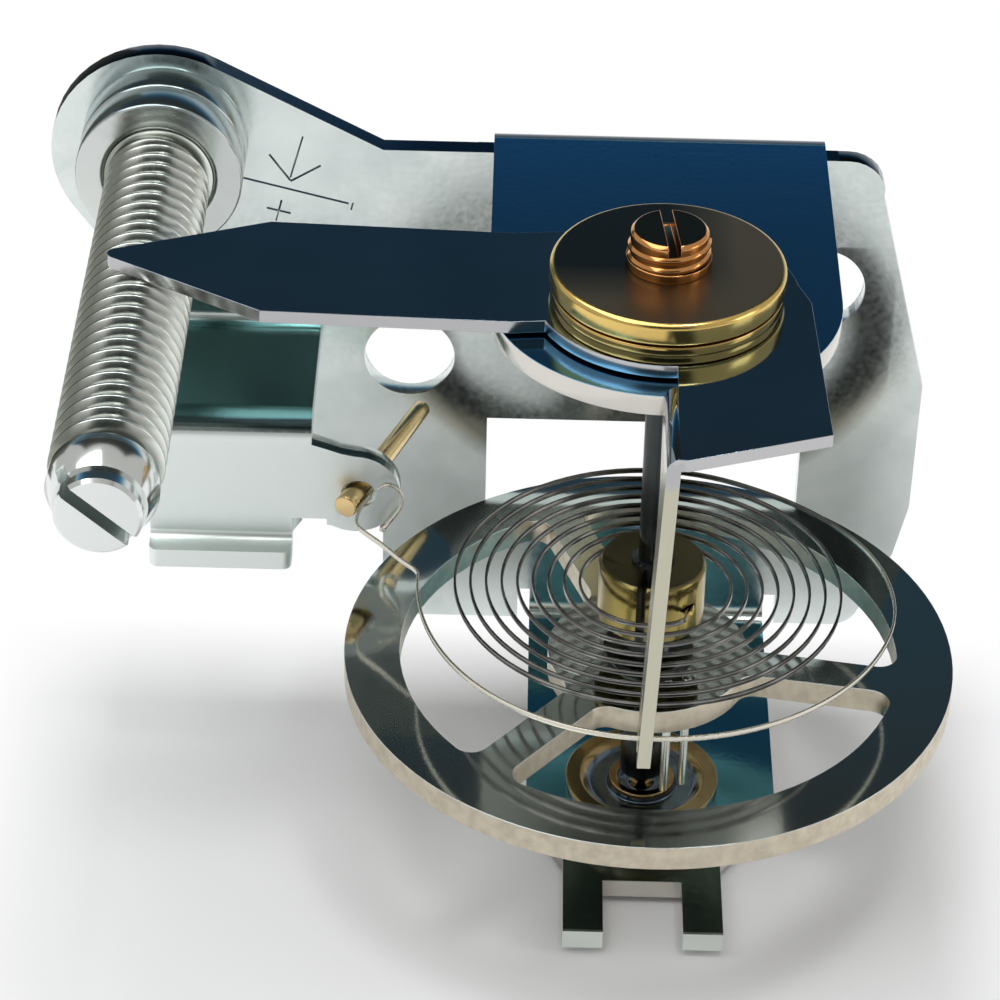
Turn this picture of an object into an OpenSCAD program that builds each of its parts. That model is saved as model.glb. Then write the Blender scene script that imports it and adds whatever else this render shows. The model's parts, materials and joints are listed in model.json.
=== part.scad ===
/* [Frame sheet] */
// Thickness of the zinc plated steel sheet
sheet_t = 0.8; // [0.7:0.05:0.9]
// Inside radius of every bend in the frame
bend_r = 0.5; // [0.3:0.1:0.7]
// Distance from the balance axis to the front face of the back plate
plate_y = 12.3; // [12.2:0.1:13]
// Height of the lower edge of the back plate
plate_low = 0.75; // [0.7:0.05:0.9]
// Height of the shoulders beside the upper tongue
shoulder_z = 22.95; // [22.6:0.05:23.1]
// Reach of the back plate to the right of the axis
plate_right = 10.97; // [10.5:0.1:12]
// Reach of the left leg of the back plate
leg_left = 10.55; // [10:0.1:11]
// Radius of the two mounting holes
mount_r = 1.8; // [1.5:0.05:1.9]
// Left mounting hole, distance left of the axis
mount_left_x = 9.5; // [9.2:0.1:10]
// Left mounting hole, height
mount_left_z = 13.55; // [13.2:0.05:14]
// Right mounting hole, distance right of the axis
mount_right_x = 6.55; // [6:0.05:7]
// Right mounting hole, height
mount_right_z = 17.15; // [16.5:0.05:17.6]
// Left edge of the window in the back plate
window_left = 6.37; // [5.5:0.05:6.6]
// Right edge of the window in the back plate
window_right = 6.3; // [5.5:0.05:7]
// Lower edge of the window
window_low = 5.4; // [5:0.1:6]
// Upper edge of the window
window_high = 10.7; // [10:0.1:11]

/* [Tongues] */
// Clear height between the lower and the upper tongue
tongue_gap = 22.0; // [21.9:0.05:22.3]
// Half width of the upper tongue, also the radius of its round front
upper_half = 6.3; // [6:0.1:6.6]
// Centre of the upper tongue's round front behind the axis
upper_front = 0.6; // [0:0.1:1]
// Reach of the lower tongue to the left
lower_left = 4.45; // [4.2:0.05:5]
// Reach of the lower tongue to the right
lower_right = 5.25; // [4.8:0.05:5.6]
// Outer half width over the two prongs
prong_outer = 3.0; // [2.8:0.05:3.3]
// Half width of the slot between the prongs
prong_slot = 1.5; // [1.3:0.05:1.7]
// Reach of the prongs in front of the axis
prong_reach = 7.6; // [7:0.1:8.5]
// Distance from the axis to the closed end of the slot
slot_end = 4.65; // [4.2:0.05:5.2]

/* [Ear and stud lug] */
// Distance of the adjusting screw left of the balance axis
screw_x = 18.9; // [18.6:0.1:19.6]
// Radius of the round ear that carries the screw
ear_r = 4.3; // [4:0.1:4.6]
// Radius of the ear's hole, in which the bush is staked flush
ear_hole_r = 2.4; // [2.3:0.05:2.5]
// Height of the shelf that carries the stud lug
shelf_z = 15.0; // [14.7:0.1:15.3]
// Left edge of the shelf
shelf_left = 19.3; // [18.8:0.1:19.6]
// Right edge of the shelf
shelf_right = 13.0; // [12.9:0.05:13.4]
// Right edge of the lug's foot
foot_right = 13.45; // [13.4:0.05:13.7]
// Distance from the balance axis to the front face of the lug
lug_y = 5.4; // [5:0.1:5.8]
// Underside of the lug's foot
foot_z = 8.7; // [8.4:0.05:9]
// Reach of the lip at the lug's foot
lip_reach = 1.0; // [0.8:0.1:1.4]
// Radius of the lug's round end
lug_r = 1.75; // [1.6:0.05:1.9]

/* [Balance] */
// Radius of the balance wheel
wheel_r = 11.5; // [11:0.1:11.8]
// Height of the underside of the balance wheel
wheel_z = 7.6; // [7.4:0.1:7.8]
// Thickness of the balance wheel
wheel_t = 1.0; // [0.8:0.05:1.2]
// Width of the wheel's rim
rim_w = 2.1; // [1.8:0.1:2.6]
// Radius of the wheel's hub
hub_r = 3.8; // [3.4:0.1:4.2]
// Width of each of the three spokes
spoke_w = 1.5; // [1.2:0.1:1.8]
// Direction of the first spoke in degrees
spoke_turn = -9.5; // [-20:0.5:20]
// Radius of the fillets where the spokes meet the rim and the hub
spoke_fillet = 0.7; // [0.5:0.1:0.9]
// Radius of the upper part of the staff
staff_r = 0.55; // [0.4:0.05:0.6]
// Radius of the roller sleeve under the wheel
sleeve_r = 0.87; // [0.8:0.01:1]
// Radius of the two pivots
pivot_r = 0.15; // [0.12:0.01:0.18]
// Radial clearance of every pivot and journal
run_gap = 0.03; // [0.02:0.01:0.05]
// Radius of the two impulse pins
impulse_r = 0.17; // [0.14:0.01:0.2]
// Distance of the impulse pins from the axis
impulse_out = 2.2; // [2.1:0.05:2.5]
// Height of the lower end of the impulse pins
impulse_low = 3.5; // [3.2:0.1:4]

/* [Hairspring] */
// Height of the ribbon's middle above the balance wheel
spring_rise = 3.05; // [2.8:0.05:3.3]
// Thickness of the ribbon
ribbon_t = 0.1; // [0.08:0.01:0.12]
// Height of the ribbon
ribbon_h = 0.2; // [0.18:0.02:0.3]
// Pitch of the spiral
spring_pitch = 0.585; // [0.57:0.005:0.59]
// Gap between the collet and the first coil
spring_start = 0.5; // [0.45:0.01:0.55]
// Turns of the close spiral
spring_turns = 8.63; // [8.55:0.01:8.7]
// Radius of the outer coil where it runs through the curb
outer_coil_r = 9.15; // [9:0.05:9.3]
// Radius of the collet
collet_r = 2.0; // [1.9:0.05:2.1]
// Height of the collet
collet_h = 2.4; // [2.2:0.1:2.6]
// Width of the collet's slit
slit_w = 0.35; // [0.25:0.05:0.45]
// Radius of the stud pin at its thin end
stud_thin_r = 0.36; // [0.3:0.02:0.4]
// Radius of the stud pin at its thick end
stud_thick_r = 0.5; // [0.44:0.02:0.52]
// Length of the stud pin
stud_len = 7.5; // [7.3:0.1:7.8]
// Angle of the stud pin to the side of straight ahead
stud_turn = 21.3; // [19:0.1:23]

/* [Regulator] */
// Thickness of the polished regulator sheet
reg_t = 0.48; // [0.44:0.02:0.52]
// Radius of the regulator's hub
reg_hub_r = 4.75; // [4.5:0.05:5]
// Half width of the pointer arm
arm_half = 3.0; // [2.6:0.1:3.2]
// Rise of the pointer arm from the hub to the screw
arm_rise = 1.16; // [1.1:0.01:1.2]
// Distance from the axis to the point of the pointer
tip_reach = 19.75; // [19.6:0.05:20.2]
// Offset of the point behind the balance axis
nib_y = -0.2; // [-0.4:0.05:0.2]
// Width of the flag that carries the curb
flag_w = 5.4; // [5:0.1:6]
// Reach of the flag at its bent edge
flag_reach = 10.4; // [10.2:0.1:11]
// Width of each curb tine
tine_w = 0.5; // [0.45:0.05:0.6]
// Width of the curb slot
curb_slot = 0.4; // [0.34:0.02:0.5]
// Depth of the curb tines below the middle of the hairspring
curb_drop = 0.8; // [0.7:0.05:1]
// Lean of the curb strip to the left in degrees
curb_lean = 2; // [0:0.5:3]

/* [Upper and lower bearings] */
// Thickness of the thin washer under the regulator
washer_t = 0.12; // [0.1:0.02:0.2]
// Radius of the thin washer
washer_r = 3.6; // [3.3:0.1:4]
// Radius of the neck that the regulator turns on
neck_r = 2.1; // [2:0.05:2.2]
// Radius of the brass flange
disc_r = 4.2; // [4:0.05:4.4]
// Thickness of the brass flange
disc_t = 0.86; // [0.8:0.02:1]
// Thickness of the brass pressure ring below the flange
ring_t = 0.42; // [0.36:0.02:0.5]
// Radius of the bearing screw's thread
bearing_r = 1.25; // [1.2:0.05:1.3]
// Radius of the bearing screw's head
head_r = 1.38; // [1.3:0.02:1.45]
// Height of the bearing screw above the brass flange
head_h = 1.4; // [1.2:0.05:1.6]
// Radius of the lower bush
low_bush_r = 2.95; // [2.8:0.05:3.2]
// Height of the lower bush above the tongue
low_bush_h = 1.4; // [1.2:0.1:1.6]
// Projection of the riveted foot below the tongue
rivet_t = 0.3; // [0.2:0.05:0.4]
// Radius of the lower bush's neck in the tongue
low_neck_r = 1.8; // [1.6:0.05:1.9]

/* [Adjusting screw] */
// Pitch of the thread
screw_pitch = 0.7; // [0.7:0.05:0.75]
// Radius over the thread
screw_r = 1.97; // [1.94:0.01:2]
// Depth of the thread
thread_depth = 0.4; // [0.36:0.01:0.42]
// Front end of the thread, in front of the axis
thread_front = 10.7; // [10.4:0.1:11]
// Radius of the slotted end
nub_r = 1.5; // [1.4:0.05:1.55]
// Radius of the collar and of the bush in the ear
collar_r = 3.15; // [3:0.05:3.3]
// Thickness of the collar
collar_t = 1.45; // [1.3:0.05:1.6]
// Thickness of the bush in front of the ear
ear_bush_t = 1.4; // [1.2:0.05:1.6]
// Radius of the journal in the ear bush
journal_r = 1.5; // [1.4:0.05:1.54]
// Radius of the retaining ring behind the journal
keeper_r = 1.85; // [1.75:0.05:1.9]
// Thickness of the retaining ring
keeper_t = 0.45; // [0.35:0.05:0.5]
// Radius of the rod's riveted tail
tail_r = 1.2; // [1.1:0.05:1.3]

/* [Hidden] */
$fn = 64;
// Small overlap used inside cuts and joined solids
eps = 0.05;
// Heights of the two tongues
low_top = rivet_t + sheet_t;
up_under = low_top + tongue_gap;
up_top = up_under + sheet_t;
// Outside radius of the bends
bend_out = bend_r + sheet_t;
// Heights above the upper tongue
reg_z = up_top + washer_t;
ring_z = reg_z + reg_t;
disc_z = ring_z + ring_t;
disc_top = disc_z + disc_t;
// Wheel and spring heights
wheel_top = wheel_z + wheel_t;
spring_z = wheel_top + spring_rise;
collet_z = spring_z - collet_h / 2;
// The screw lies under the pointer with its crest just clear of the sheet
arm_under = reg_z + arm_rise;
point_gap = 0.06;
screw_z = arm_under - point_gap - screw_r;
root_r = screw_r - thread_depth;
// The point's nib sits in a groove straight above the screw
nib_r = 0.11;
nib_depth = 0.14;
// Clearance between pieces that sit in each other on one body
seat_gap = 0.02;
// Ends of the staff's pivots and of the bearing screw
screw_end = up_under - 0.7;
pivot_top = screw_end + 0.8;
low_pivot = low_top + 0.15;
// Lug and stud pin
lug_back = lug_y + sheet_t;
stud_x = -11.35;
lug_cx = stud_x;
lug_bend = 0.3;
stud_hole_r = 0.62;
stud_side = 0.12;
stud_ahead = 0.95;
collar_gap = 0.05;
bush_front = plate_y - ear_bush_t;
collar_back = bush_front - collar_gap;
collar_front = collar_back - collar_t;
// The retaining ring and the tail stay below the plate's rear face
plate_back_y = plate_y + sheet_t;
tail_back = plate_back_y - 0.05;
keeper_back = tail_back - 0.07;
keeper_front = keeper_back - keeper_t;
// The thread runs out inside the collar
run_out = 0.4;
thread_back = collar_front + run_out;
// The plain core reaches past both ends of the thread by this much
core_end = 0.3;

// Points on a circular arc
function arc(cx, cy, r, a0, a1, n) =
    [for (i = [0:n]) [cx + r * cos(a0 + (a1 - a0) * i / n), cy + r * sin(a0 + (a1 - a0) * i / n)]];
// Smooth step between two values
function ease(t) = t <= 0 ? 0 : t >= 1 ? 1 : t * t * (3 - 2 * t);
function unit(v) = v / norm(v);

// The part's origin lies on the back of the plate, behind the balance axis
module placed() {
    translate([0, -plate_y - sheet_t, -mount_left_z]) children();
}

// Quarter bend of the sheet along X, its centre at the origin
module bend(len, r_in, t, turn) {
    rotate([0, 90, 0]) rotate([0, 0, turn]) intersection() {
        difference() {
            cylinder(h = len, r = r_in + t);
            translate([0, 0, -eps]) cylinder(h = len + 2 * eps, r = r_in);
        }
        translate([0, 0, -eps]) cube([r_in + t + eps, r_in + t + eps, len + 2 * eps]);
    }
}

// Upright piece of the sheet from an outline in X and Z
module upright(y, t) {
    translate([0, y + t, 0]) rotate([90, 0, 0]) linear_extrude(height = t) children();
}

notch_w = 0.5;
notch_h = 0.6;
ear_z = screw_z - 0.6;
ear_x = screw_x + 0.1;
corner_r = 1.5;
ear_slope = 30;

module plate_outline() {
    right_top = [plate_right - 2.2, shoulder_z - 1.55];
    polygon(concat(
        [[-leg_left + corner_r, plate_low]],
        [[plate_right - 2.9, plate_low]],
        arc(plate_right - 2.9, plate_low + 1.2, 1.2, -90, -30, 5),
        [[plate_right - 0.55, plate_low + 3.7], [plate_right - 0.05, plate_low + 6.1]],
        [[plate_right, plate_low + 12.0], right_top],
        arc(plate_right - 3.65, shoulder_z - 1.5, 1.5, 12, 90, 6),
        [[-leg_left, shoulder_z]],
        [[-ear_x + ear_r * sin(ear_slope), ear_z + ear_r * cos(ear_slope)]],
        arc(-ear_x, ear_z, ear_r, 90 - ear_slope, 215, 20),
        [[-shelf_left, shelf_z + bend_r], [-shelf_right, shelf_z + bend_r]],
        [[-shelf_right, mount_left_z - 4.6], [-leg_left, mount_left_z - 8.4]],
        arc(-leg_left + corner_r, plate_low + corner_r, corner_r, 180, 264, 6)));
}

module back_plate() {
    upright(plate_y, sheet_t) difference() {
        union() {
            plate_outline();
            translate([-upper_half, shoulder_z - 1.5])
                square([2 * upper_half, up_under - bend_r - shoulder_z + 1.5]);
        }
        // window and mounting holes
        translate([-window_left, window_low])
            square([window_left + window_right, window_high - window_low]);
        translate([-mount_left_x, mount_left_z]) circle(r = mount_r);
        translate([mount_right_x, mount_right_z]) circle(r = mount_r);
        // hole for the bush in the ear
        translate([-screw_x, screw_z]) circle(r = ear_hole_r);
        // above the start of the upper bend only the shoulders stay
        translate([-upper_half - notch_w, up_under - bend_r])
            square([2 * (upper_half + notch_w), 3]);
        for (x = [-upper_half - notch_w, upper_half])
            translate([x, up_under - bend_r - notch_h]) square([notch_w, 3]);
        // below the start of the lower bend only the shoulders stay
        translate([-lower_left - notch_w, low_top + bend_r - 3])
            square([lower_left + lower_right + 2 * notch_w, 3]);
        for (x = [-lower_left - notch_w, lower_right])
            translate([x, low_top + bend_r + notch_h - 3]) square([notch_w, 3]);
    }
}

module upper_tongue() {
    back = plate_y - bend_r;
    translate([0, 0, up_under]) difference() {
        linear_extrude(height = sheet_t) union() {
            translate([-upper_half, upper_front]) square([2 * upper_half, back - upper_front]);
            translate([0, upper_front]) circle(r = upper_half);
        }
        translate([0, 0, -eps]) cylinder(h = sheet_t + 2 * eps, r = neck_r + seat_gap);
    }
    translate([-upper_half, back, up_under - bend_r]) bend(2 * upper_half, bend_r, sheet_t, 90);
}

module lower_tongue() {
    back = plate_y - bend_r;
    narrow = slot_end - 1.4;
    translate([0, 0, rivet_t]) difference() {
        linear_extrude(height = sheet_t) difference() {
            polygon([[-lower_left, back], [-lower_left, 0], [-prong_outer, -narrow],
                [-prong_outer, -prong_reach], [prong_outer, -prong_reach],
                [prong_outer, -narrow], [lower_right, 0], [lower_right, back]]);
            translate([-prong_slot, -prong_reach - 1])
                square([2 * prong_slot, prong_reach + 1 - slot_end]);
        }
        translate([0, 0, -eps]) cylinder(h = sheet_t + 2 * eps, r = low_neck_r + seat_gap);
    }
    translate([-lower_left, back, low_top + bend_r])
        bend(lower_left + lower_right, bend_r, sheet_t, 0);
}

// Direction of the stud pin, from its thick front end to its thin rear end
module along_stud(side, start) {
    translate([stud_x, lug_y, spring_z]) rotate([0, 0, -stud_turn])
        translate([side, start, 0]) rotate([-90, 0, 0]) children();
}

module stud_bracket() {
    w = shelf_left - shelf_right;
    foot_w = shelf_left - foot_right;
    shear = 0.35;
    lip_corner = 0.35;
    lug_top = shelf_z - sheet_t - lug_bend;
    shelf_from = lug_back + lug_bend;
    // bend from the plate, shelf, bend to the lug
    translate([-shelf_left, plate_y - bend_r, shelf_z + bend_r]) bend(w, bend_r, sheet_t, 0);
    translate([-shelf_left, shelf_from, shelf_z - sheet_t])
        cube([w, plate_y - bend_r - shelf_from, sheet_t]);
    translate([-shelf_left, shelf_from, lug_top]) bend(w, lug_bend, sheet_t, 180);
    // lug with its round end and the hole for the stud pin
    difference() {
        upright(lug_y, sheet_t) union() {
            translate([-shelf_left, foot_z + sheet_t + lug_bend])
                square([foot_w, lug_top - foot_z - sheet_t - lug_bend]);
            polygon([[-foot_right - eps, lug_top], [-shelf_right, lug_top],
                [-shelf_right + 0.6, spring_z + 2.05],
                [lug_cx - 0.55, spring_z + lug_r + 0.12], [lug_cx, spring_z + lug_r],
                [lug_cx, spring_z - lug_r], [-foot_right - eps, spring_z - 1.2]]);
            translate([lug_cx, spring_z]) circle(r = lug_r);
        }
        along_stud(stud_side, -3) cylinder(h = 8, r = stud_hole_r);
        // sheared edge of the foot, slanting towards the front
        translate([-foot_right, lug_y, foot_z]) linear_extrude(height = spring_z - 1.2 - foot_z)
            polygon([[-shear, -eps], [0, sheet_t], [1, sheet_t], [1, -eps]]);
    }
    // lip at the foot with round corners
    translate([-shelf_left, lug_y - lug_bend, foot_z + sheet_t + lug_bend])
        bend(foot_w - shear, lug_bend, sheet_t, 0);
    translate([-shelf_left, lug_y - lip_reach, foot_z]) linear_extrude(height = sheet_t) hull() {
        translate([0, lip_reach - lug_bend - eps]) square([foot_w - shear, eps]);
        for (x = [lip_corner, foot_w - shear - lip_corner])
            translate([x, lip_corner]) circle(r = lip_corner);
    }
}

module frame() {
    placed() color("gainsboro") union() {
        back_plate();
        upper_tongue();
        lower_tongue();
        stud_bracket();
    }
}

// Solid of revolution along the screw's axis from points of distance ahead and radius
module on_screw() {
    translate([-screw_x, 0, screw_z]) rotate([90, 0, 0]) children();
}

module screw_bush() {
    placed() color("silver") on_screw() difference() {
        union() {
            translate([0, 0, -plate_y]) cylinder(h = ear_bush_t, r = collar_r);
            translate([0, 0, -plate_back_y])
                cylinder(h = sheet_t + eps, r = ear_hole_r - seat_gap);
        }
        translate([0, 0, -plate_back_y - eps])
            cylinder(h = sheet_t + ear_bush_t + 2 * eps, r = journal_r + run_gap);
        // recess for the retaining ring
        translate([0, 0, -plate_back_y - eps])
            cylinder(h = plate_back_y - keeper_front + collar_gap + eps, r = keeper_r + 0.08);
    }
}

module screw_collar() {
    placed() color("silver") on_screw() difference() {
        translate([0, 0, -collar_back]) cylinder(h = collar_t, r = collar_r);
        translate([0, 0, -collar_back - eps]) cylinder(h = 3, r = journal_r + seat_gap);
        // recess for the thread's run-out, with a small chamfer
        translate([0, 0, -thread_back - core_end - 0.08])
            cylinder(h = run_out + core_end + 0.08 + eps, r = screw_r + 0.06);
        translate([0, 0, -collar_front - 0.15])
            cylinder(h = 0.15 + eps, r1 = screw_r + 0.06, r2 = screw_r + 0.25);
    }
}

module retaining_ring() {
    placed() color("silver") on_screw() translate([0, 0, -keeper_back]) difference() {
        cylinder(h = keeper_t, r = keeper_r);
        translate([0, 0, -eps]) cylinder(h = keeper_t + 2 * eps, r = tail_r + seat_gap);
    }
}

// One start thread as a closed skin: the corners of each step lie root, crest, crest
module thread(len, turns_seg) {
    p = screw_pitch;
    steps = floor((len / p - 1) * turns_seg);
    ramp = turns_seg / 2;
    function fade(i) = min(1, i / ramp, (steps - i) / ramp);
    function at(i, r, f) = [r * cos(360 * i / turns_seg), r * sin(360 * i / turns_seg),
        p * i / turns_seg + f * p];
    function crest(i) = root_r + thread_depth * max(0, fade(i));
    all = steps + turns_seg;
    base = all + 1;
    points = concat(
        [for (i = [0:all]) at(i, root_r, 0)],
        [for (i = [0:steps]) at(i, crest(i), 0.4375)],
        [for (i = [0:steps]) at(i, crest(i), 0.5625)],
        [for (i = [0:turns_seg - 1]) [root_r * cos(360 * i / turns_seg),
            root_r * sin(360 * i / turns_seg), -core_end]],
        [for (i = [0:turns_seg - 1]) [root_r * cos(360 * (steps + i) / turns_seg),
            root_r * sin(360 * (steps + i) / turns_seg), p * (all / turns_seg) + core_end]],
        [[0, 0, -core_end], [0, 0, p * (all / turns_seg) + core_end]]);
    c1 = base;
    c2 = base + steps + 1;
    lo = c2 + steps + 1;
    hi = lo + turns_seg;
    mid_lo = hi + turns_seg;
    mid_hi = mid_lo + 1;
    n = turns_seg;
    faces = concat(
        [for (i = [0:steps - 1]) for (f = [[i, c1 + i + 1, i + 1], [i, c1 + i, c1 + i + 1],
            [c1 + i, c2 + i + 1, c1 + i + 1], [c1 + i, c2 + i, c2 + i + 1],
            [c2 + i, i + n + 1, c2 + i + 1], [c2 + i, i + n, i + n + 1]]) f],
        [for (i = [0:n - 2]) for (f = [[lo + i, i, i + 1], [lo + i, i + 1, lo + i + 1],
            [mid_lo, lo + i, lo + i + 1]]) f],
        [[mid_lo, lo + n - 1, lo], [n - 1, lo, lo + n - 1], [n - 1, 0, lo],
            [n - 1, c1, 0], [n - 1, c2, c1], [n - 1, n, c2]],
        [for (i = [1:n - 2]) for (f = [[steps + 1 + i, steps + i, hi + i],
            [steps + 1 + i, hi + i, hi + i + 1], [mid_hi, hi + i + 1, hi + i]]) f],
        [for (f = [[steps, c1 + steps], [c1 + steps, c2 + steps], [c2 + steps, all],
            [all, hi], [hi, hi + 1]]) [steps + 1, f[0], f[1]]],
        [[mid_hi, hi + 1, hi], [mid_hi, hi, hi + n - 1], [all, all - 1, hi + n - 1],
            [all, hi + n - 1, hi]]);
    polyhedron(points = points, faces = faces, convexity = 10);
}

module adjusting_screw() {
    len = thread_back + thread_front;
    // turn that puts a groove under the nib
    turn = 90 + 360 * (nib_y - thread_back) / screw_pitch;
    placed() color("silver") on_screw() {
        difference() {
            union() {
                translate([0, 0, -thread_back]) rotate([0, 0, turn]) thread(len, 20);
                // chamfered end and slotted nub
                translate([0, 0, thread_front - 0.5]) cylinder(h = 0.9, r = screw_r - 0.05);
                translate([0, 0, thread_front + 0.4])
                    cylinder(h = 0.8, r1 = screw_r - 0.05, r2 = nub_r + 0.08);
                translate([0, 0, thread_front]) cylinder(h = 1.9, r = nub_r);
                // journal and riveted tail
                translate([0, 0, -keeper_front])
                    cylinder(h = keeper_front - collar_front + 0.6, r = journal_r);
                translate([0, 0, -tail_back]) cylinder(h = tail_back - keeper_front + 0.3, r = tail_r);
            }
            translate([0, 0, thread_front + 1.9]) rotate([0, 0, -42])
                cube([6, 0.46, 2.2], center = true);
        }
    }
}

point_x = -screw_x;

module pointer_outline() {
    corner_x = -14.2;
    tip_r = 0.35;
    function mid(x) = 1.4 + 0.1 * x;
    polygon(concat(
        [[0, mid(0) + arm_half], [corner_x, mid(corner_x) + arm_half]],
        arc(-tip_reach + tip_r, nib_y, tip_r, 115, 245, 6),
        [[corner_x, mid(corner_x) - arm_half], [0, mid(0) - arm_half]]));
}

flag_x = -0.2;
flag_root = 0.3;
curb_low = spring_z - curb_drop;

// Section across the bent edge of the flag: root, round bend and the leaning strip
module strip_section() {
    down = [-sin(curb_lean), -cos(curb_lean)] * (reg_z - curb_low + 1);
    bend_arc = arc(reg_t, 0, reg_t, 90, 180 - curb_lean, 8);
    polygon(concat([[reg_t + flag_root, 0], [reg_t + flag_root, reg_t]], bend_arc,
        [bend_arc[8] + down, [reg_t, 0] + down, [reg_t, 0]]));
}

module regulator() {
    // the flange starts just in front of the upper tongue
    flange_from = upper_half - upper_front + 0.3;
    slope = arm_rise / (screw_x - 5.5);
    past = tip_reach - 5.5 + 1;
    inner = outer_coil_r - curb_slot / 2 - tine_w;
    outer = outer_coil_r + curb_slot / 2 + tine_w;
    placed() color("steelblue") difference() {
        union() {
            // hub
            translate([0, 0, reg_z]) cylinder(h = reg_t, r = reg_hub_r);
            // level part of the arm, then its gentle rise to the screw
            translate([0, 0, reg_z]) linear_extrude(height = reg_t) intersection() {
                pointer_outline();
                translate([-5.5, -6]) square([5.5, 12]);
            }
            intersection() {
                translate([0, 0, reg_z - 1]) linear_extrude(height = 6) pointer_outline();
                translate([0, 8, 0]) rotate([90, 0, 0]) linear_extrude(height = 16)
                    polygon([[-5.5, reg_z], [-5.5, reg_z + reg_t],
                        [-5.5 - past, reg_z + reg_t + slope * past],
                        [-5.5 - past, reg_z + slope * past]]);
            }
            // flag
            translate([0, 0, reg_z]) linear_extrude(height = reg_t)
                polygon([[flag_x + reg_t, 0], [flag_x + reg_t, -flag_reach],
                    [flag_x + reg_t + flag_root, -flag_reach], [flag_w, -flag_reach + 1.7],
                    [flag_w - 0.3, -0.4], [disc_r, disc_r / 2]]);
            // bent edge of the flag and the long curb strip, cut to their outline
            intersection() {
                translate([flag_x, -flange_from, reg_z]) rotate([90, 0, 0])
                    linear_extrude(height = flag_reach - flange_from) strip_section();
                translate([flag_x - 2, 0, 0]) rotate([90, 0, 90]) linear_extrude(height = 5)
                    polygon([[-flange_from, reg_z + 1], [-flange_from, reg_z - 0.4],
                        [-inner + 0.6, reg_z - 2.2], [-inner, reg_z - 4], [-inner, curb_low],
                        [-outer, curb_low], [-flag_reach, reg_z - 0.8],
                        [-flag_reach, reg_z + 1]]);
            }
        }
        translate([0, 0, reg_z - eps]) cylinder(h = reg_t + 2 * eps, r = neck_r + run_gap);
        // slot of the curb, open below
        translate([flag_x - 1, -outer_coil_r - curb_slot / 2, curb_low - 1])
            cube([3, curb_slot, 1 + curb_drop + 2.2]);
    }
    // nib under the point, running in the thread's groove
    placed() color("steelblue") translate([point_x, nib_y, arm_under - point_gap - nib_depth])
        cylinder(h = point_gap + nib_depth + 0.2, r = nib_r);
}

module regulator_washer() {
    placed() color("tan") translate([0, 0, up_top]) difference() {
        cylinder(h = washer_t, r = washer_r);
        translate([0, 0, -eps]) cylinder(h = washer_t + 2 * eps, r = neck_r + seat_gap);
    }
}

module pressure_ring() {
    placed() color("goldenrod") translate([0, 0, ring_z]) difference() {
        union() {
            cylinder(h = ring_t - 0.08, r = disc_r - 0.06);
            cylinder(h = ring_t, r = disc_r - 0.3);
        }
        translate([0, 0, -eps]) cylinder(h = ring_t + 2 * eps, r = neck_r + seat_gap);
    }
}

module upper_bush() {
    edge = 0.22;
    placed() color("goldenrod") difference() {
        union() {
            // flange with a rounded upper edge
            translate([0, 0, disc_z]) rotate_extrude() polygon(concat(
                [[0, 0], [disc_r, 0]], arc(disc_r - edge, disc_t - edge, edge, 0, 90, 6),
                [[0, disc_t]]));
            translate([0, 0, up_under - eps]) cylinder(h = disc_z - up_under + 2 * eps, r = neck_r);
            translate([0, 0, up_under - 0.3]) cylinder(h = 0.3, r = neck_r + 0.6);
        }
        translate([0, 0, up_under - 1]) cylinder(h = disc_top - up_under + 2,
            r = bearing_r + seat_gap);
    }
}

module bearing_screw() {
    placed() color("peru") difference() {
        union() {
            translate([0, 0, screw_end]) cylinder(h = disc_top - screw_end + eps, r = bearing_r);
            translate([0, 0, disc_top]) cylinder(h = 0.34, r = head_r + 0.14);
            translate([0, 0, disc_top + 0.3]) cylinder(h = 0.3, r = head_r - 0.16);
            translate([0, 0, disc_top + 0.48]) cylinder(h = head_h - 0.48 - 0.12, r = head_r);
            translate([0, 0, disc_top + head_h - 0.12])
                cylinder(h = 0.12, r1 = head_r, r2 = head_r - 0.12);
        }
        // slot across the head
        translate([0, 0, disc_top + head_h]) rotate([0, 0, 6])
            cube([0.42, 4, 1.3], center = true);
        // bearing for the upper pivot with a conical mouth
        translate([0, 0, screw_end - eps])
            cylinder(h = pivot_top - screw_end + 0.15, r = pivot_r + run_gap);
        translate([0, 0, screw_end - eps]) cylinder(h = 0.4, r1 = 0.6, r2 = pivot_r + run_gap);
    }
}

seat_r = 1.2;

// Opening between two spokes, with filleted corners
module sector() {
    f = spoke_fillet;
    h = spoke_w / 2;
    a_out = asin((h + f) / (wheel_r - rim_w - f));
    a_in = asin((h + f) / (hub_r + f));
    r_out = wheel_r - rim_w - f;
    r_in = hub_r + f;
    out_a = [r_out * cos(a_out), r_out * sin(a_out)];
    in_a = [r_in * cos(a_in), r_in * sin(a_in)];
    b = 120;
    half = [for (i = [0:8]) let(a = -90 + (a_out + 90) * i / 8)
        [out_a[0] + f * cos(a), out_a[1] + f * sin(a)]];
    rim = [for (i = [1:23]) let(a = a_out + (b - 2 * a_out) * i / 24)
        [(wheel_r - rim_w) * cos(a), (wheel_r - rim_w) * sin(a)]];
    inner = [for (i = [0:8]) let(a = a_in + 180 + (90 - a_in) * i / 8)
        [in_a[0] + f * cos(a), in_a[1] + f * sin(a)]];
    hub = [for (i = [1:11]) let(a = b - a_in - (b - 2 * a_in) * i / 12)
        [hub_r * cos(a), hub_r * sin(a)]];
    function flip(v) = let(c = cos(b), s = sin(b)) [v[0] * c + v[1] * s, v[0] * s - v[1] * c];
    polygon(concat(half, rim, [for (i = [8:-1:0]) flip(half[i])],
        [for (i = [8:-1:0]) flip(inner[i])], hub, inner));
}

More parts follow.
